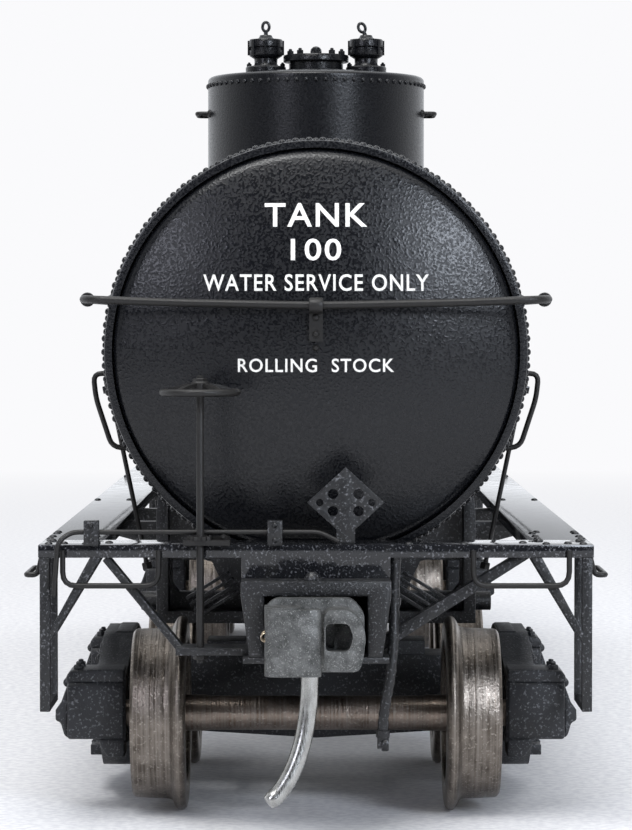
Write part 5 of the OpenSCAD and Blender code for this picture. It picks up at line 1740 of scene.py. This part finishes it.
@dataclass
class Studio:
    """A pale floor, soft light all round and the camera in front of the brake end."""

    camera_place: Point = (0.0, -232.2, 27.57)
    pitch: float = 1.69
    lens: float = 139.75
    floor_half: float = 8000.0
    sky: str = "#fafafc"
    floor_colour: str = "#dadadb"
    fibre_colour: str = "#cbcbce"
    surround: str = "#f2f5fa"
    fade: tuple[float, float] = (0.05, 0.36)
    dim: float = 0.05
    bright: float = 1.3
    lamps: tuple[Lamp, ...] = (
        Lamp("right_softbox", (250, -430, 215), 150, 190, 1.4, colour="#eaf2ff"),
        Lamp("left_softbox", (-270, -420, 205), 130, 170, 0.46, colour="#eef0ff"),
        Lamp("front_softbox", (-70, -235, 390), 260, 170, 1.3, (0, -60, 0)),
        Lamp("top_softbox", (0, -40, 440), 520, 560, 1.1, (0, -20, 0)),
    )

    def floor(self) -> None:
        """A wide paper sweep, faintly mottled, that fades into the backdrop far away."""
        rings = np.concatenate([[0.0], np.geomspace(60, self.floor_half, 24)])
        sheet = lathe(np.stack([rings, 0 * rings], axis=1), 96)
        piece = solid_object("studio_floor", sheet, 0.0, 60)
        material = bpy.data.materials.new("matte_background_paper")
        tree = blank_tree(material)
        place = add_node(tree, "ShaderNodeTexCoord").outputs["Object"]
        fibres = add_node(tree, "ShaderNodeTexNoise",
                          {"Vector": place, "Scale": per_size(0.5), "Detail": 5.0})
        share = add_node(tree, "ShaderNodeMapRange",
                         {"Value": fibres.outputs[0], "From Min": 0.4, "From Max": 0.6})
        colour = add_node(tree, "ShaderNodeMix", {
            "Factor": share.outputs[0], UNDER: linear(self.floor_colour),
            OVER: linear(self.fibre_colour)}, data_type="RGBA")
        paper = add_node(tree, "ShaderNodeBsdfPrincipled", {
            "Base Color": colour.outputs[MIXED], "Roughness": 0.9, "Specular IOR Level": 0.1})
        reach = add_node(tree, "ShaderNodeVectorMath", {0: place}, operation="LENGTH")
        far = add_node(tree, "ShaderNodeMapRange", {
            "Value": reach.outputs["Value"], "From Min": self.fade[0], "From Max": self.fade[1]})
        seen = add_node(tree, "ShaderNodeLightPath").outputs["Is Camera Ray"]
        both = add_node(tree, "ShaderNodeMath", {0: far.outputs[0], 1: seen},
                        operation="MULTIPLY")
        glow = add_node(tree, "ShaderNodeEmission", {"Color": linear(self.sky), "Strength": 1.0})
        mix = add_node(tree, "ShaderNodeMixShader",
                       {0: both.outputs[0], 1: paper.outputs[0], 2: glow.outputs[0]})
        add_node(tree, "ShaderNodeOutputMaterial", {"Surface": mix.outputs[0]})
        piece.data.materials.append(material)

    def world(self) -> None:
        """A white surround whose light is dim before the brake end and bright behind it."""
        world = bpy.data.worlds.new("studio_surround")
        bpy.context.scene.world = world
        tree = blank_tree(world)
        run = add_node(tree, "ShaderNodeTexCoord").outputs["Generated"]
        split = add_node(tree, "ShaderNodeSeparateXYZ", {0: run})
        light = add_node(tree, "ShaderNodeMapRange", {
            "Value": split.outputs[1], "From Min": -0.5, "From Max": 0.5, "To Min": self.dim,
            "To Max": self.bright})
        unseen = add_node(tree, "ShaderNodeBackground",
                          {"Color": linear(self.surround), "Strength": light.outputs[0]})
        seen = add_node(tree, "ShaderNodeBackground",
                        {"Color": linear(self.sky), "Strength": 1.0})
        path = add_node(tree, "ShaderNodeLightPath").outputs["Is Camera Ray"]
        mix = add_node(tree, "ShaderNodeMixShader",
                       {0: path, 1: unseen.outputs[0], 2: seen.outputs[0]})
        add_node(tree, "ShaderNodeOutputWorld", {"Surface": mix.outputs[0]})

    def light(self, lamp: Lamp) -> None:
        """Hangs one lamp and turns it to the point that it lights."""
        light = bpy.data.lights.new(lamp.name, "AREA")
        light.shape = "RECTANGLE"
        light.size, light.size_y = lamp.width * MM, lamp.height * MM
        light.energy = lamp.watts
        light.color = linear(lamp.colour)[:3]
        hung = bpy.data.objects.new(lamp.name, light)
        hung.location = [c * MM for c in lamp.place]
        run = np.array(lamp.aim) - np.array(lamp.place)
        flat = math.hypot(run[0], run[1])
        heading = math.atan2(run[1], run[0]) - math.pi / 2
        hung.rotation_euler = (math.atan2(flat, -run[2]), 0, heading)
        bpy.context.scene.collection.objects.link(hung)

    def camera(self) -> None:
        """A long lens just above the couplers' height, tipped slightly down."""
        data = bpy.data.cameras.new("camera")
        data.lens = self.lens
        data.sensor_width = 36.0
        data.clip_start, data.clip_end = 0.01, 60.0
        camera = bpy.data.objects.new("camera", data)
        camera.location = [c * MM for c in self.camera_place]
        camera.rotation_euler = (math.radians(90 - self.pitch), 0, 0)
        bpy.context.scene.collection.objects.link(camera)
        bpy.context.scene.camera = camera

    def build(self) -> None:
        """Sets up the floor, the surround, the lamps and the camera."""
        self.camera()
        self.floor()
        self.world()
        for lamp in self.lamps:
            self.light(lamp)
        bpy.context.scene.view_settings.view_transform = "Standard"


def assemblies() -> list[Assembly]:
    """Every sub-assembly of the wagon, in the order in which it is built."""
    return [
        Tank(), Dome(), Handrail(), Underframe(), EndGear(), BrakeGear(), CouplerBoxes(),
        Truck(end=End.FRONT), Truck(end=End.REAR),
        *[Wheelset(number=n) for n in (1, 2, 3, 4)],
        Coupler(end=End.FRONT), Coupler(end=End.REAR), Stencils(),
    ]


def main() -> None:
    """Builds and dresses the wagon in its studio."""
    logging.basicConfig(level=logging.INFO, format="%(name)s %(message)s")
    Studio().build()
    for assembly in assemblies():
        assembly.build()
        assembly.dress()


if __name__ == "__main__":
    main()
